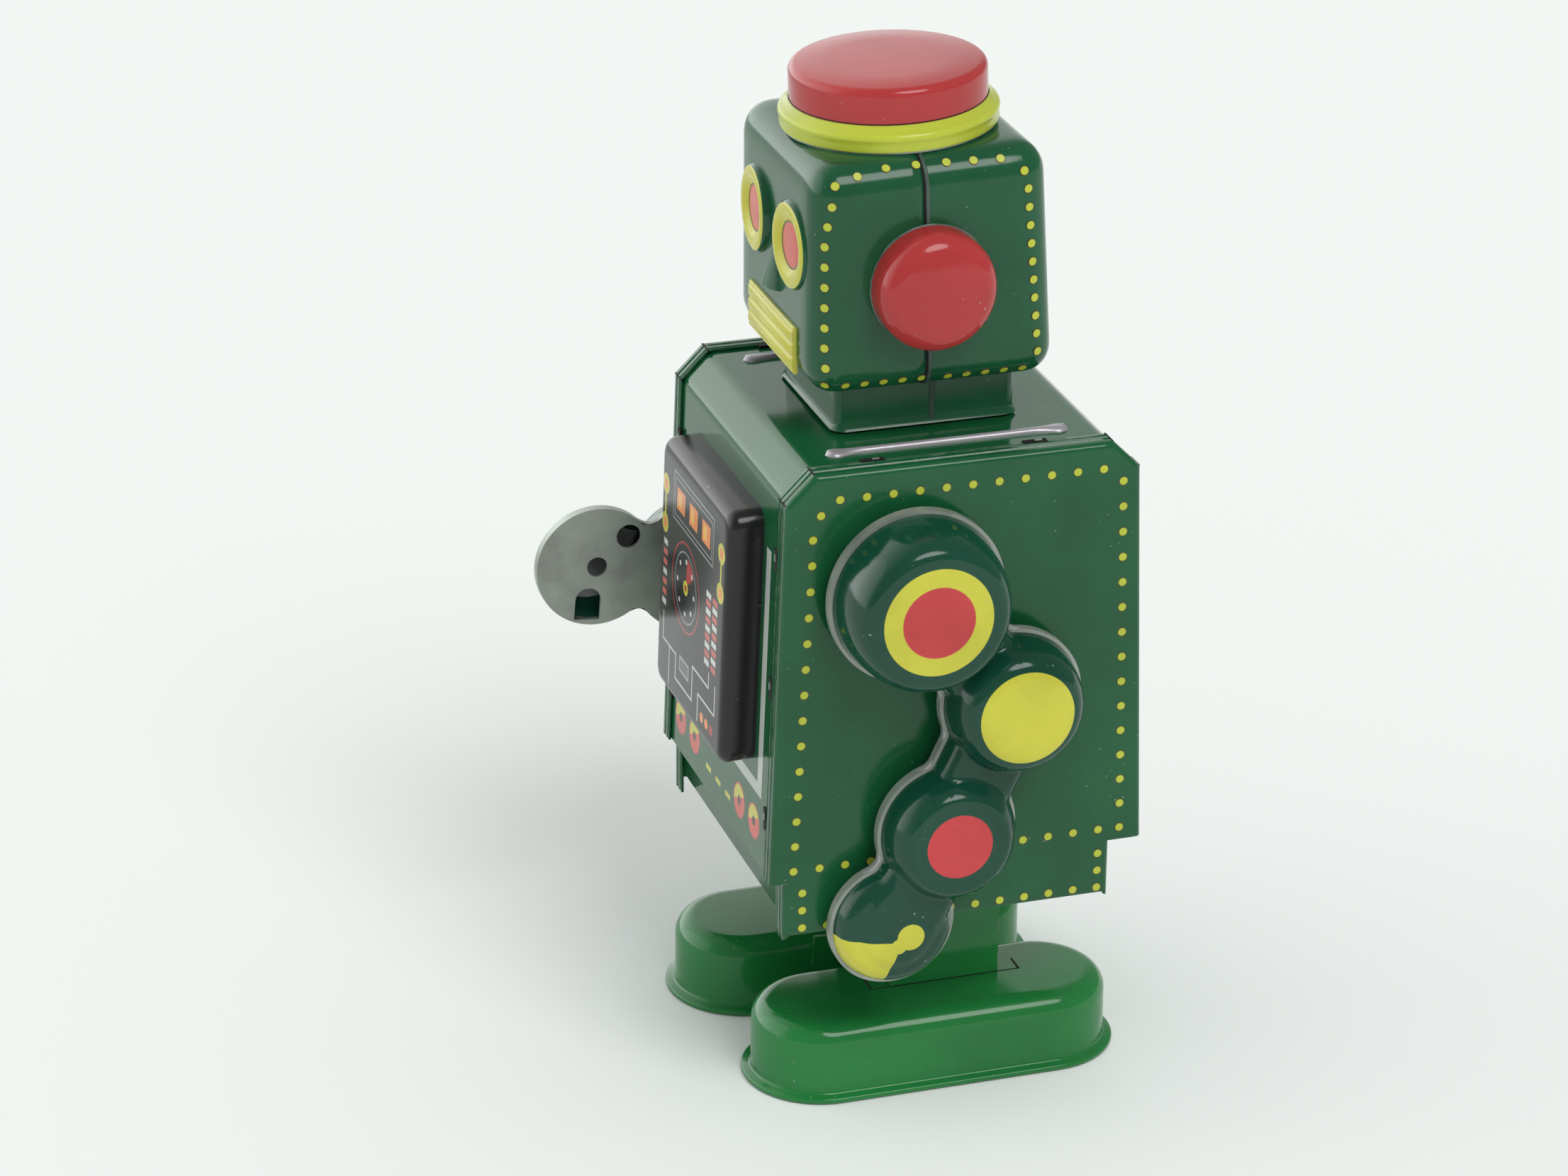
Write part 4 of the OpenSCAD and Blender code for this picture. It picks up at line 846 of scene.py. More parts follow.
cover_edge, cover_wall = 1.7, 3.3
profile = [(0.0, -0.2), (0.0, 1.4), (0.0, cover_wall)]
for i in range(1, 9):
    a = math.radians(90 * i / 8)
    profile.append((cover_edge * (1 - math.cos(a)), cover_wall + cover_edge * math.sin(a)))
rings = []
for inset, out in profile:
    outline = rounded_rectangle(cover_half[0] - inset, cover_half[1] - inset, 2.4 - inset * 0.7, 8)
    rings.append([cover_place(a, b, out) for a, b in outline])
lofted("chest_cover_skin", rings, chest_enamel, "body", ["chest_cover"], lid=True, smooth=50)
print("chest cover made")

# %% [markdown]
# ## Head
#
# The head is a box with a sloping top, pressed in two halves that meet at a crimped seam. It is made as
# one rounded box, warped to the side view's outline, then cut at the seam. The eye rings, the nose and the
# ridged mouth are pressed forms of their own that stand on the face.

# %% Head sizes
head_half = box_mm("head_front")[1].x
edge_r = 4.2
head_bottom = body_top + 6.8
front_y = -18.75
rear_bottom, rear_top_y = 16.3, 14.2
top_front, top_rear = body_top + 39.1, body_top + 40.1
seam_bottom, seam_top = -2.4, -3.5
print("head from", round(head_bottom, 1), "to", round(top_rear, 1))


# %% Head shape
def head_place(u, v, w):
    """Maps a rounded box of half sizes (head_half, 1, 1) to the head: v runs from front to rear, w upwards."""
    z_front = head_bottom + (top_front - head_bottom) * w
    z_rear = head_bottom + (top_rear - head_bottom) * w
    rear = rear_bottom + (rear_top_y - rear_bottom) * w
    y = front_y + (rear - front_y) * v
    return (u, y, z_front + (z_rear - z_front) * v)


def box_steps(size, coarse):
    """Places along one side of the box: fine in the rounded ends, coarse between them."""
    ends = [edge_r * (1 - math.cos(math.radians(a))) for a in range(0, 91, 15)]
    middle = max(2, round((size - 2 * edge_r) / coarse))
    inner = [edge_r + (size - 2 * edge_r) * i / middle for i in range(1, middle)]
    return ends + inner + [size - e for e in reversed(ends)]


def rounded(point, size):
    """Pulls a point of the box surface onto the box with rounded edges."""
    core = [min(max(c, edge_r), s - edge_r) for c, s in zip(point, size)]
    away = Vector(point) - Vector(core)
    return Vector(core) + away.normalized() * edge_r if away.length > 1e-6 else Vector(point)


size = (2 * head_half, rear_bottom - front_y, top_front - head_bottom)
print("head box", [round(v, 2) for v in size], "mm")


# %% Head skin
def head_half_skin(part):
    """One pressed half of the head; part is 'front' or 'rear'."""
    xs, ys, zs = (box_steps(length, coarse) for length, coarse in zip(size, (2.2, 2.0, 2.2)))
    points, faces = [], []

    def grid(first, second, corner_of):
        start = len(points)
        for a in first:
            for b in second:
                points.append(corner_of(a, b))
        for i in range(len(first) - 1):
            for j in range(len(second) - 1):
                k = start + i * len(second) + j
                faces.append((k, k + 1, k + 1 + len(second), k + len(second)))

    def placed(x, y, z):
        p = rounded((x, y, z), size)
        return Vector(head_place(p.x - head_half, p.y / size[1], p.z / size[2]))

    wall = 0.0 if part == "front" else size[1]
    grid(xs, zs, lambda a, b: placed(a, wall, b))
    for x in (0.0, size[0]):
        grid(ys, zs, lambda a, b: placed(x, a, b))
    for z in (0.0, size[2]):
        grid(xs, ys, lambda a, b: placed(a, b, z))
    return points, faces


def seam_y(z):
    """Where the two halves of the head meet, at height z."""
    if z < head_bottom:
        return 0.0
    return seam_bottom + (seam_top - seam_bottom) * (z - head_bottom) / (top_rear - head_bottom)


def keep_side(piece, front):
    """Cuts a head piece at the seam and keeps its front or rear part."""
    shape = bmesh.new()
    shape.from_mesh(piece.data)
    low = to_frame((0, seam_y(head_bottom), head_bottom))
    normal = to_frame((0, seam_y(top_rear), top_rear)) - low
    across = Vector((0, normal.z, -normal.y)).normalized()
    geometry = shape.verts[:] + shape.edges[:] + shape.faces[:]
    bmesh.ops.bisect_plane(shape, geom=geometry, plane_co=low, plane_no=across, clear_outer=front,
                           clear_inner=not front)
    shape.to_mesh(piece.data)
    shape.free()


print("head skin ready")

# %% Head halves
head_enamel = enamel("head_enamel", GREEN_HEAD, 0.15, chips=0.4)
for part, node in (("front", "head_front"), ("rear", "head_rear")):
    points, faces = head_half_skin(part)
    piece = make_piece(f"{node}_skin", points, faces, head_enamel, "body", [node], smooth=40)
    keep_side(piece, part == "front")
    thicken(piece, tin * 0.9)
    print(piece.name, len(piece.data.polygons), "faces")


# %% Face
eye_x, eye_z, eye_lift, eye_lean = 8.0, 122.5, 0.22, 0.05
nose_low, nose_height = 114.1, 5.4


def face_place(x, z, out):
    """A point of the face, whose plane is upright."""
    return (x, front_y - out, z)


def eye(side):
    """A pressed ring, a flat between, and a low dome in the middle, each with its printed colour."""
    word = word_of(side)

    def place(x, y, h):
        # the face is faintly crowned, so each eye leans outwards
        return face_place(side * eye_x + x, eye_z + y, eye_lift + h - eye_lean * side * x)

    wall = [(6.25, -0.6), (6.1, 0.0), (5.95, 0.3), (5.8, 0.46)]
    ring = [(5.82, 0.45), (5.5, 0.62), (5.0, 0.7), (4.5, 0.62), (4.0, 0.4), (3.6, 0.16), (3.38, 0.04)]
    groove = [(3.4, 0.05), (3.3, -0.02), (3.1, -0.02)]
    dome = [(3.13, -0.03), (2.8, 0.06), (2.0, 0.12), (1.0, 0.16), (0.01, 0.17)]
    for form, profile, material in (("wall", wall, head_enamel), ("ring", ring, yellow_enamel),
                                    ("groove", groove, groove_enamel), ("dome", dome, eye_enamel)):
        lofted(f"eye_{word}_{form}", turned(profile, place, 72), material, "body", smooth=60)


def nose():
    """A small wedge with a soft ridge, wide at its foot."""
    rings = []
    for i in range(13):
        t = i / 12
        half, out = 2.7 * (1 - t) ** 0.8 + 0.3, 1.7 * (1 - t) ** 0.95 + 0.12
        z = nose_low + nose_height * t
        shares = [-1 + 2 * k / 14 for k in range(15)]
        rings.append([face_place(half * a, z, out * (1 - abs(a) ** 1.35) ** 0.8 - 0.06) for a in shares])
    foot = [face_place(p[0], nose_low - 0.05, -0.2) for p in rings[0]]
    lofted("nose", [foot] + rings, head_enamel, "body", closed=False, smooth=50)


def mouth():
    """A raised panel with three rounded ridges across it, which fall away at both ends."""
    low, high, half = 104.75, 111.45, 10.1
    profile = [(low, -0.2), (low, 0.3), (low + 0.25, 0.5)]
    for ridge in range(3):
        start = low + 0.55 + ridge * 1.95
        for i in range(9):
            t = i / 8
            profile.append((start + 1.75 * t, 0.42 + 0.38 * math.sin(math.pi * t) ** 0.6))
    profile += [(high - 0.25, 0.5), (high, 0.3), (high, -0.2)]
    ends = [(0.0, 0.1), (0.25, 0.6), (0.9, 0.6), (1.15, 2.0)]
    places = [(-half + x, top) for x, top in ends] + [(0.0, 2.0)] + [(half - x, top) for x, top in reversed(ends)]
    rings = [[face_place(x, z, max(-0.2, min(out, top))) for z, out in profile] for x, top in places]
    first, last = ([face_place(x, p[2], -0.2) for p in rings[0]] for x in (-half, half))
    lofted("mouth", [first, *rings, last], yellow_enamel, "body", closed=False, smooth=45)


yellow_enamel = enamel("yellow_enamel", YELLOW, 0.26, cloud=0.07, chips=0.7)
groove_enamel = enamel("groove_enamel", srgb(104, 104, 36), 0.3, edges=0.0)
eye_enamel = enamel("eye_enamel", srgb(214, 84, 70), 0.3, cloud=0.12, edges=0.2)
eye(1)
eye(-1)
nose()
mouth()
print("face made")


# %% Neck, seam, cap and ears
neck_x, neck_y, neck_back, ear_z = 12, 12.9, 0.75, 118.7


def neck():
    """The straight neck under the head, with a small flare where it meets the shoulders."""
    rings = []
    for grow, z in ((0.0, head_bottom + 0.6), (0.0, body_top + 1.2), (0.15, body_top + 0.5),
                    (0.5, body_top + 0.02)):
        outline = rounded_rectangle(neck_x + grow, neck_y + grow, 1.6 + grow)
        rings.append([(x, y - neck_back, z) for x, y in outline])
    lofted("neck_skin", rings, head_enamel, "body")


def seam_bead(name, shift, width, height, material):
    """One edge of the joint where the two halves of the head meet, right round the head."""
    high = top_front + 0.45
    outline = rounded_rectangle(head_half, (high - head_bottom) / 2, edge_r, 8)
    path = [(x, z + (high + head_bottom) / 2) for x, z in outline]
    rings = []
    for i, (x, z) in enumerate(path):
        before, after = path[i - 1], path[(i + 1) % len(path)]
        out = Vector((after[1] - before[1], before[0] - after[0])).normalized()
        ring = []
        for k in range(7):
            a = math.pi * k / 6
            lift, along = height * math.sin(a) - 0.05, shift + width * math.cos(a)
            ring.append((x + out.x * lift, seam_y(z) + along, z + out.y * lift))
        rings.append(ring)
    lofted(name, rings + [rings[0]], material, "body", closed=False)


def neck_seams():
    """The same joint down both sides of the neck."""
    for side in (-1, 1):
        rings = []
        for z in (head_bottom + 0.3, body_top + 0.3):
            arch = [math.pi * k / 6 for k in range(7)]
            rings.append([(side * (neck_x + 0.3 * math.sin(a) - 0.04), 0.45 * math.cos(a), z) for a in arch])
        lofted(f"neck_seam_{word_of(side)}", rings, seam_metal, "body", closed=False)


neck()
seam_bead("head_seam_gap", -0.2, 0.2, 0.14, slot_shade)
seam_bead("head_seam_edge", 0.25, 0.3, 0.26, seam_metal)
neck_seams()

crown_y = -2.6
lean = math.atan((top_rear - top_front) / (-front_y + rear_top_y - 2 * edge_r))
crown_z = top_front - edge_r + (-front_y - edge_r + crown_y) * math.tan(lean) + edge_r / math.cos(lean)


def cap_place(x, y, h):
    """A point of the cap: its axis leans with the head's top."""
    return (x, crown_y + y * math.cos(lean) - h * math.sin(lean),
            crown_z + y * math.sin(lean) + h * math.cos(lean))


bead = [(14.62, 0.3), (14.85, 0.32), (14.92, 0.6), (14.82, 1.1)] + arc(14.25, 2.1, 0.8, -30, 75, 8) + [
    (13.95, 3.25), (13.65, 3.6), (13.4, 3.75)]
edge = [(14.0, -0.1), (14.55, -0.05), (14.7, 0.1), (14.72, 0.36)]
groove = [(13.5, 3.74), (13.6, 3.82), (13.5, 3.9)]
wall = [(13.45, 3.0), (13.5, 3.5), (13.5, 6.5)] + arc(12.3, 7.42, 1.2, 0, 80, 6) + [
    (8, 8.76), (4, 8.82), (0.01, 8.84)]
for name, profile, material, replaced, smooth in (
        ("cap_bead", bead, lime_enamel, [], 60), ("cap_edge", edge, bare_tin, [], 35),
        ("cap_groove", groove, slot_shade, [], 35), ("cap_skin", wall, red_enamel, ["head_cap"], 35)):
    lofted(name, turned(profile, cap_place), material, "body", replaced, smooth=smooth)

ear_profile = [(8.15, 0.2), (8.3, 0.4), (8.3, 2.6)] + arc(5.3, 2.9, 3.0, 0, 74, 9) + [
    (4, 6.1), (2, 6.4), (0.01, 6.5)]
rim_profile = [(8.2, -0.1), (8.45, 0.05), (8.45, 0.25), (8.2, 0.4)]


def ear(side):
    """A low red dome on one side of the head, with its rim."""
    def place(x, y, h):
        return (side * (head_half + h), crown_y + x, ear_z + y)

    word = word_of(side)
    lofted(f"ear_{word}_skin", turned(ear_profile, place), red_enamel, "body", [f"ear_{word}"])
    lofted(f"ear_{word}_rim", turned(rim_profile, place), seam_metal, "body")


for side in (-1, 1):
    ear(side)
print("neck, seam, cap and ears made")

# %% [markdown]
# ## Arms
#
# An arm is pressed from one sheet: four soft domes joined by lower necks, with a crimped rim. The form is
# a height field over a smooth outline. The outline is the zero line of a distance function, so the same
# function gives the rim, the edge of the shell and the fall of its wall.

# %% Arm form
stations = [(0.0, 0.0), (13.7, -16.7), (4.8, -35.3), (-2.9, -48.6)]
domes = [(12.5, 10.2, 10.0), (10.2, 7.8, 8.0), (10.0, 7.8, 6.8), (9.0, 7.4, 4.0)]
neck_half, neck_height = 6.5, 4.4
plate_t, rim_width = 0.5, 0.5
right_raise = -66.7
rim_section = [(-0.12, 0.6), (-0.12, 1.35), (0.05, 1.5), (0.33, 1.45), (0.48, 1.2), (0.49, 0.5), (0.4, 0.05)]
arm_x = box_mm("arm_back_left")[0].x


def smooth_least(a, b, reach=1.4):
    """The lesser of two distances, with a soft corner between them."""
    h = max(0.0, reach - abs(a - b)) / reach
    return min(a, b) - h * h * reach / 4


def off_neck(y, z, a, b):
    """Distance from the line between two stations."""
    dy, dz = b[0] - a[0], b[1] - a[1]
    t = max(0.0, min(1.0, ((y - a[0]) * dy + (z - a[1]) * dz) / (dy * dy + dz * dz)))
    return math.hypot(y - a[0] - t * dy, z - a[1] - t * dz)


def arm_edge(y, z):
    """Distance outside the arm's outline; negative inside."""
    edge = 99.0
    for a, b in zip(stations, stations[1:]):
        edge = smooth_least(edge, off_neck(y, z, a, b) - neck_half)
    for (cy, cz), (radius, _, _) in zip(stations, domes):
        edge = smooth_least(edge, math.hypot(y - cy, z - cz) - radius)
    return edge


def dome_height(r, base, top, height):
    """A dome's height at radius r: a nearly flat crown, a round shoulder and a steep wall."""
    base -= rim_width
    if r >= base:
        return 0.0
    crown, shoulder = height - 0.35 * (r / top) ** 2, top - 1.6
    if r <= shoulder:
        return crown
    return crown * (1 - ((r - shoulder) / (base - shoulder)) ** 2.6) ** (1 / 2.2)


def arm_height(y, z):
    """Height of the pressed shell above the back plate."""
    height = 1.0
    for a, b in zip(stations, stations[1:]):
        reach = (neck_half - rim_width) - off_neck(y, z, a, b)
        if reach > 0:
            height = max(height, 1.0 + (neck_height - 1.0) * (1 - max(0.0, 1 - reach / 2.6) ** 2.4) ** 0.5)
    away = [math.hypot(y - c[0], z - c[1]) for c in stations]
    best = max(dome_height(r, *d) for r, d in zip(away, domes))
    blend = max(0.0, 1.2 - abs(best - height)) / 1.2
    height = max(best, height) + blend * blend * 0.3
    # a raised ring round the wrist's disc, and a raised disc on the elbow
    height += 0.3 * max(0.0, 1 - (away[2] - 6.9) ** 2)
    height += 0.25 * max(0.0, min(1.0, (6.6 - away[1]) / 0.7))
    inside = min(1.0, max(0.0, -arm_edge(y, z) - rim_width) / 0.5)
    return plate_t + 0.9 + (height - 0.9) * inside ** 0.6


print("arm crown", round(arm_height(0, 0), 2), "mm above the plate's back")


# %% Arm shell
def outline_slope(y, z, step):
    """How fast the distance outside the outline grows along Y and along Z."""
    return ((arm_edge(y + step, z) - arm_edge(y - step, z)) / (2 * step),
            (arm_edge(y, z + step) - arm_edge(y, z - step)) / (2 * step))


def onto_outline(y, z, inset, rounds):
    """Slides a point along the slope until it lies inset inside the outline."""
    for _ in range(rounds):
        gy, gz = outline_slope(y, z, 0.01)
        scale = (arm_edge(y, z) + inset) / max(gy * gy + gz * gz, 0.25)
        y, z = y - gy * scale, z - gz * scale
    return y, z


def arm_grid(spacing, inset, reach=1.0):
    """Grid points over the arm whose outer points are pulled onto the outline; returns points and faces."""
    low = [min(s[k] - d[0] for s, d in zip(stations, domes)) - reach for k in (0, 1)]
    high = [max(s[k] + d[0] for s, d in zip(stations, domes)) + reach for k in (0, 1)]
    columns, rows = (int((b - a) / spacing) + 1 for a, b in zip(low, high))
    places = [[(low[0] + i * spacing, low[1] + j * spacing) for j in range(rows)] for i in range(columns)]
    depth = [[arm_edge(*p) + inset for p in column] for column in places]
    near = -0.25 * spacing
    number, points, faces = {}, [], []

    def vertex(i, j):
        if (i, j) not in number:
            number[i, j] = len(points)
            points.append(onto_outline(*places[i][j], inset, 4 if depth[i][j] > near else 0))
        return number[i, j]

    for i in range(columns - 1):
        for j in range(rows - 1):
            corners = [(i, j), (i + 1, j), (i + 1, j + 1), (i, j + 1)]
            if min(depth[a][b] for a, b in corners) < near:
                faces.append(tuple(vertex(*c) for c in corners))
    return points, faces


def boundary_loop(faces):
    """The outer edge of a sheet of faces, as vertex numbers in order."""
    sides = [pair for face in faces for pair in zip(face, face[1:] + face[:1])]
    single = set(sides)
    onward = {a: b for a, b in sides if (b, a) not in single}
    start = next(iter(onward))
    loop, at = [start], onward[start]
    while at != start and len(loop) <= len(onward):
        loop.append(at)
        at = onward[at]
    return loop


def arm_to_body(side, y, z, x):
    """A point of the arm, turned by its raise and set at its shoulder."""
    py, pz = pivot_of(f"arm_{word_of(side)}_swing")
    raised = 0.0 if side > 0 else math.radians(right_raise)
    return (side * (arm_x + x), py + y * math.cos(raised) - z * math.sin(raised),
            pz + y * math.sin(raised) + z * math.cos(raised))


def add_wall(points, faces):
    """Carries the sheet's edge out over the steep wall, ring by ring; returns the outermost ring."""
    loop = boundary_loop(faces)
    for share in (0.84, 0.68, 0.53, 0.39, 0.27, 0.17, 0.09, 0.035, 0.0):
        ring = list(range(len(points), len(points) + len(loop)))
        points += [onto_outline(*points[i], rim_width + wall_band * share, 3) for i in loop]
        for k in range(len(loop)):
            n = (k + 1) % len(loop)
            faces.append((loop[k], ring[k], ring[n], loop[n]))
        loop = ring
    return loop


wall_band = 2.2
sheet_points, sheet_faces = arm_grid(0.42, rim_width + wall_band)
crown_points, crown_faces = list(sheet_points), list(sheet_faces)
rim_loop = add_wall(sheet_points, sheet_faces)
print("arm sheet:", len(sheet_points), "points,", len(rim_loop), "round the edge")


# %% Printed arm
def arm_finish(side):
    """Blue-green enamel with the printed rings, discs and spanner of one arm."""
    finish = Finish(f"arm_enamel_{word_of(side)}", 0.12)

    def at(y, z):
        x_, y_, z_ = arm_to_body(side, y, z, 0)
        return (x_, y_ + middle_y, z_)

    colour = GREEN_ARM
    for station, radius, ink in ((0, 7.7, YELLOW), (0, 5.1, PRINT_RED), (1, 6.7, YELLOW), (2, 4.7, PRINT_RED)):
        colour = finish.mix(finish.disc(at(*stations[station]), radius, "X"), colour, ink)
    # the spanner printed on the hand is a wedge from the outline to a round end
    corners = [at(*p)[1:] for p in ((-3.6, -49.9), (-11.85, -48.9), (-3.1, -51.4), (-5.0, -57.0))]
    jaw = finish.both(finish.slope(corners[0], corners[1]), finish.slope(corners[3], corners[2]))
    colour = finish.mix(jaw, colour, YELLOW)
    for place, radius in (((-1.3, -49.3), 1.95), ((-3.0, -50.5), 1.15)):
        colour = finish.mix(finish.disc(at(*place), radius, "X"), colour, YELLOW)
    return worn(finish, colour, chips=0.6)


def arm_skin(side):
    """The pressed shell of one arm and its crimped rim."""
    word = word_of(side)
    points = [arm_to_body(side, y, z, arm_height(y, z)) for y, z in sheet_points]
    low = [arm_to_body(side, *sheet_points[i], plate_t + 0.02) for i in rim_loop]
    base = len(points)
    faces = list(sheet_faces)
    for k, i in enumerate(rim_loop):
        n = (k + 1) % len(rim_loop)
        faces.append((i, rim_loop[n], base + n, base + k))
    shell = make_piece(f"arm_{word}_skin", points + low, faces, arm_finish(side), f"arm_{word}",
                       [f"arm_shell_{word}"], smooth=50)
    # the tin is printed on its outer face only, so the inner face is a bare sheet of its own
    inner = [arm_to_body(side, y, z, arm_height(y, z) - 0.25) for y, z in crown_points]
    make_piece(f"arm_{word}_inside", inner, [face[::-1] for face in crown_faces], crimp_tin,
               f"arm_{word}",
               mend=False, smooth=50)
    rings = []
    for i in rim_loop:
        y, z = sheet_points[i]
        gy, gz = outline_slope(y, z, 0.02)
        length = math.hypot(gy, gz) or 1.0
        gy, gz = gy / length, gz / length
        rings.append([arm_to_body(side, y + gy * out, z + gz * out, x) for out, x in rim_section])
    lofted(f"arm_{word}_rim", rings + [rings[0]], crimp_tin, f"arm_{word}", closed=False, smooth=60)
    return shell


for side in (1, -1):
    print(arm_skin(side).name, "made")

# %% [markdown]
# ## Feet
#
# Each foot is a drawn box with rounded ends. Its outline is a stadium, and the profile up its wall has a
# soft top edge and a small rolled lip at the bottom.

# %% Feet
foot_x, foot_straight = 14, 16.3


def stadium(y_centre, half_straight, radius, steps=24):
    """Outline of two half circles joined by straight sides, as (x, y)."""
    corners = []
    for end, start in ((1, 0), (-1, 180)):
        for i in range(steps + 1):
            a = math.radians(start + 180 * i / steps)
            corners.append((radius * math.cos(a), y_centre + end * half_straight + radius * math.sin(a)))
    sides = zip(corners, corners[1:] + corners[:1])
    return [point for a, b in sides for point in between(a, b, max(1, round(math.dist(a, b) / 2.5)))]


foot_profile = [(9.45, 0.9), (9.45, 0.25), (9.7, 0.15), (11.0, 0.15), (11.2, 0.35), (11.2, 0.75), (11.0, 0.95),
                (10.2, 1.0), (9.9, 1.25), (9.85, 1.8), (9.85, 8.3)] + arc(6.85, 8.3, 3.0, 8, 90, 10)


def foot_skin(side):
    """The drawn shell of one foot."""
    word = word_of(side)
    low, high = box_mm(f"foot_{word}")
    rings = [[(side * foot_x + x, y, height) for x, y in stadium((low.y + high.y) / 2, foot_straight, radius)]
             for radius, height in foot_profile]
    return lofted(f"foot_{word}_skin", rings, foot_enamel, f"leg_{word}", [f"foot_{word}"], lid=True,
                  smooth=50)


def leg_slot(side):
    """The dark gap where the leg's channel passes into the top of the foot."""
    word = word_of(side)
    leg_low, leg_high = box_mm("leg_left")
    foot_low, foot_high = box_mm("foot_left")
    other_low, other_high = box_mm(f"foot_{word}")
    shift = (other_low.y + other_high.y - foot_low.y - foot_high.y) / 2
    front, rear, outer = leg_low.y + shift, leg_high.y + shift, leg_high.x
    strips = (((outer, front - 0.25), (outer + 0.22, rear + 0.25)),
              ((outer - 3.0, front - 0.3), (outer + 0.22, front)),
              ((outer - 3.0, rear), (outer + 0.22, rear + 0.3)))
    for number, ((x1, y1), (x2, y2)) in enumerate(strips):
        points, faces = box_points((x1, y1, 11.0), (x2, y2, 11.33))
        placed = [(side * x, y, z) for x, y, z in points]
        make_piece(f"leg_{word}_gap_{number}", placed, faces, slot_shade, f"leg_{word}")


for side in (1, -1):
    print(foot_skin(side).name, "made")
    leg_slot(side)

# %% [markdown]
# ## Printed dots
#
# Rows of lime dots run round each printed panel. Every row is a line with a facing direction. Geometry
# Nodes walks along the lines at an even pitch and sets a thin disc at each stop. The same node group runs
# twice: once for the dark edge of the print and once for the lime dot on it.

# %% Node group that sets dots along lines
def dot_nodes():
    """Builds the node group and returns it with the identifiers of its inputs."""
    group = bpy.data.node_groups.new("dots_along_lines", "GeometryNodeTree")
    wanted = (("Geometry", "Geometry"), ("Pitch", "Float"), ("Radius", "Float"), ("Depth", "Float"),
              ("Ink", "Material"))
    inputs = {}
    for name, kind in wanted:
        socket = group.interface.new_socket(name, in_out="INPUT", socket_type=f"NodeSocket{kind}")
        inputs[name] = socket.identifier
    group.interface.new_socket("Geometry", in_out="OUTPUT", socket_type="NodeSocketGeometry")
    add = group.nodes.new
    start, end = add("NodeGroupInput"), add("NodeGroupOutput")
    curve, walk = add("GeometryNodeMeshToCurve"), add("GeometryNodeResampleCurve")
    disc, put = add("GeometryNodeMeshCylinder"), add("GeometryNodeInstanceOnPoints")
    real, set_ink = add("GeometryNodeRealizeInstances"), add("GeometryNodeSetMaterial")
    facing, turn = add("GeometryNodeInputNamedAttribute"), add("FunctionNodeAlignRotationToVector")
    walk.mode = "LENGTH"
    disc.inputs["Vertices"].default_value = 18
    facing.data_type = "FLOAT_VECTOR"
    facing.inputs["Name"].default_value = "facing"
    turn.axis = "Z"
    for source, target in (
            (start.outputs["Geometry"], curve.inputs[0]), (curve.outputs[0], walk.inputs["Curve"]),
            (start.outputs["Pitch"], walk.inputs["Length"]), (walk.outputs[0], put.inputs["Points"]),
            (start.outputs["Radius"], disc.inputs["Radius"]), (start.outputs["Depth"], disc.inputs["Depth"]),
            (disc.outputs["Mesh"], put.inputs["Instance"]), (facing.outputs[0], turn.inputs["Vector"]),
            (turn.outputs[0], put.inputs["Rotation"]), (put.outputs[0], real.inputs[0]),
            (real.outputs[0], set_ink.inputs["Geometry"]), (start.outputs["Ink"], set_ink.inputs["Material"]),
            (set_ink.outputs[0], end.inputs[0])):
        group.links.new(source, target)
    return group, inputs


dots, dot_inputs = dot_nodes()
print("node group inputs:", dot_inputs)

# %% Lines for the dots
def body_rows(side):
    """Rows round one side plate, as lines of (point, facing) with a pitch each."""
    lines = [
        ([(-21.6, 83.7), (-22.5, 66.0), (-23.9, 38.4)], 3.74), ([(-20.4, 90.8), (-21.5, 87.4)], 3.5),
        ([(-17.75, 92.8), (19.76, 92.8)], 3.75), ([(22.66, 90.75), (23.3, 64.6), (23.85, 38.35)], 3.74),
        ([(-20.15, 38.4), (20.7, 38.4)], 3.7), ([(20.75, 34.7), (20.75, 29.4)], 2.65),
        ([(-22.6, 34.9), (-22.6, 29.55)], 2.67), ([(-19.0, 29.5), (17.2, 29.5)], 3.6)]
    return [([((side * side_x, y, z), (side, 0, 0)) for y, z in line], pitch) for line, pitch in lines]


def head_rows(side):
    """Rows round one side of the head; the outer columns lie on its round edges."""
    lines = [
        ([(-15.8, 133.4), (-17.1, 126.1), (-17.0, 110.5), (-16.7, 105.2)], 2.6),
        ([(10.5, 133.2), (11.1, 130.7), (13.1, 107.3)], 2.6),
        ([(-12.6, 134.3), (-8.7, 134.9), (-4.3, 135.0)], 4.05), ([(-0.1, 135.0), (7.4, 134.9)], 3.74),
        ([(-14.0, 105.1), (-3.2, 105.0)], 2.65), ([(0.6, 104.8), (11.3, 104.8)], 2.65)]
    rows = []
    for line, pitch in lines:
        places = [place for a, b in zip(line, line[1:]) for place in between(a, b, 6)] + [line[-1]]
        rows.append(([head_surface(side, y, z) for y, z in places], pitch))
    return rows


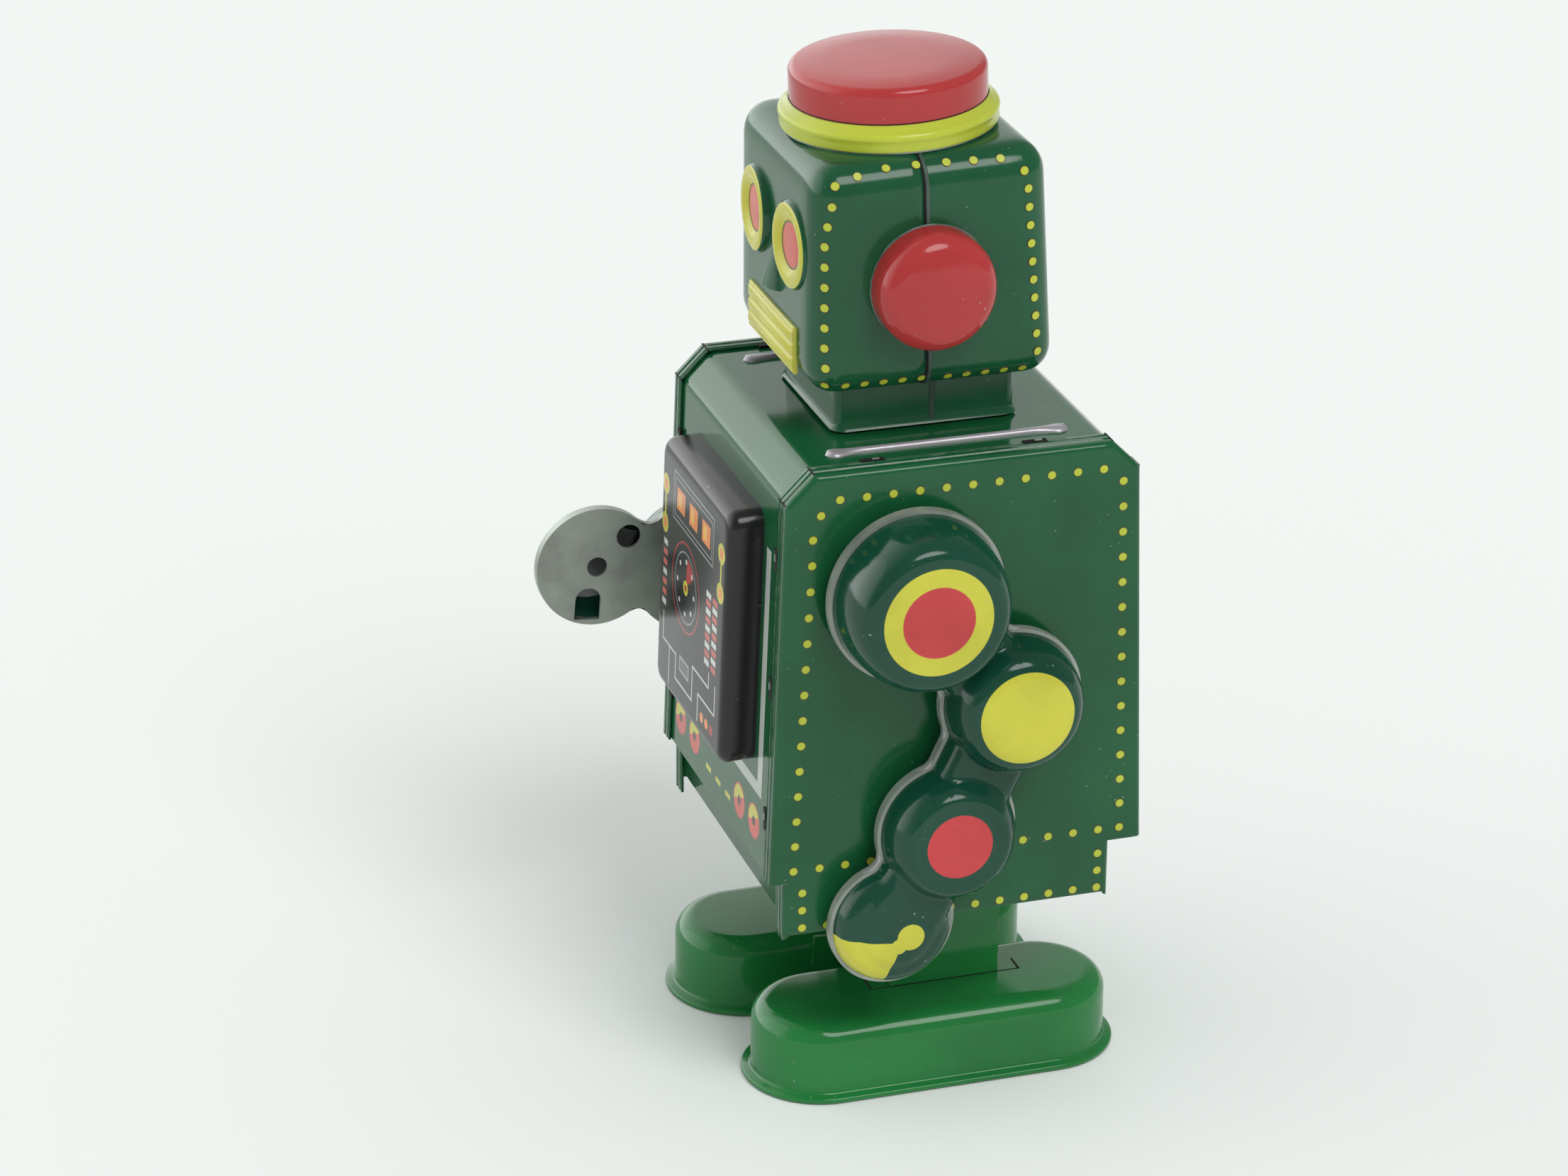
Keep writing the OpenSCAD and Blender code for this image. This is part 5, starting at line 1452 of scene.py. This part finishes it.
def head_surface(side, y, z):
    """The point of the head's rounded side at (y, z), with the way it faces."""
    w = (z - head_bottom) / (top_front - head_bottom)
    v = (y - front_y) / (rear_bottom + (rear_top_y - rear_bottom) * w - front_y)
    w = (z - head_bottom) / (top_front - head_bottom + (top_rear - top_front) * v)
    along, up = v * size[1], w * size[2]
    over_y = max(0.0, edge_r - size[1] + along) - max(0.0, edge_r - along)
    over_z = max(0.0, edge_r - size[2] + up) - max(0.0, edge_r - up)
    depth = math.sqrt(max(0.4, edge_r ** 2 - over_y ** 2 - over_z ** 2))
    facing = Vector((side * depth, over_y, over_z)).normalized()
    return (side * (head_half - edge_r + depth), y, z), tuple(facing)


def dot_lines(rows, pitch):
    """A mesh of the lines that share a pitch, with a facing vector at each point."""
    points, edges, facings = [], [], []
    for line, row_pitch in rows:
        if row_pitch != pitch:
            continue
        edges += [(i, i + 1) for i in range(len(points), len(points) + len(line) - 1)]
        points += [to_frame(point) for point, _ in line]
        facings += [part for _, facing in line for part in facing]
    mesh = bpy.data.meshes.new("rows")
    mesh.from_pydata(points, edges, [])
    mesh.attributes.new("facing", "FLOAT_VECTOR", "POINT").data.foreach_set("vector", facings)
    return mesh


def print_dots(name, rows, radius, depth, ink):
    """Runs the node group over every row and keeps the result as one plain mesh."""
    shape = bmesh.new()
    for pitch in sorted({row[1] for row in rows}):
        carrier = bpy.data.objects.new("carrier", dot_lines(rows, pitch))
        bpy.context.scene.collection.objects.link(carrier)
        modifier = carrier.modifiers.new("dots", "NODES")
        modifier.node_group = dots
        # a pitch a little short of the spacing keeps the last dot of a row
        values = {"Pitch": pitch * MM * 0.9995, "Radius": radius * MM, "Depth": 2 * depth * MM, "Ink": ink}
        for key, value in values.items():
            modifier[dot_inputs[key]] = value
        bake_modifiers(carrier)
        shape.from_mesh(carrier.data)
        bpy.data.objects.remove(carrier)
    joined = bpy.data.meshes.new(name)
    shape.to_mesh(joined)
    shape.free()
    finish_piece(bpy.data.objects.new(name, joined), ink, "body")
    print(name, len(joined.polygons), "faces")


for part, rows_of, slot, depth in (("body", body_rows, "body_tin", 0.02), ("head", head_rows, "head_tin", 0.05)):
    rows = rows_of(1) + rows_of(-1)
    print_dots(f"{part}_dot_edges", rows, 0.66, depth, dot_edge_ink)
    print_dots(f"{part}_dots", rows, 0.57, depth + 0.015, dot_ink)
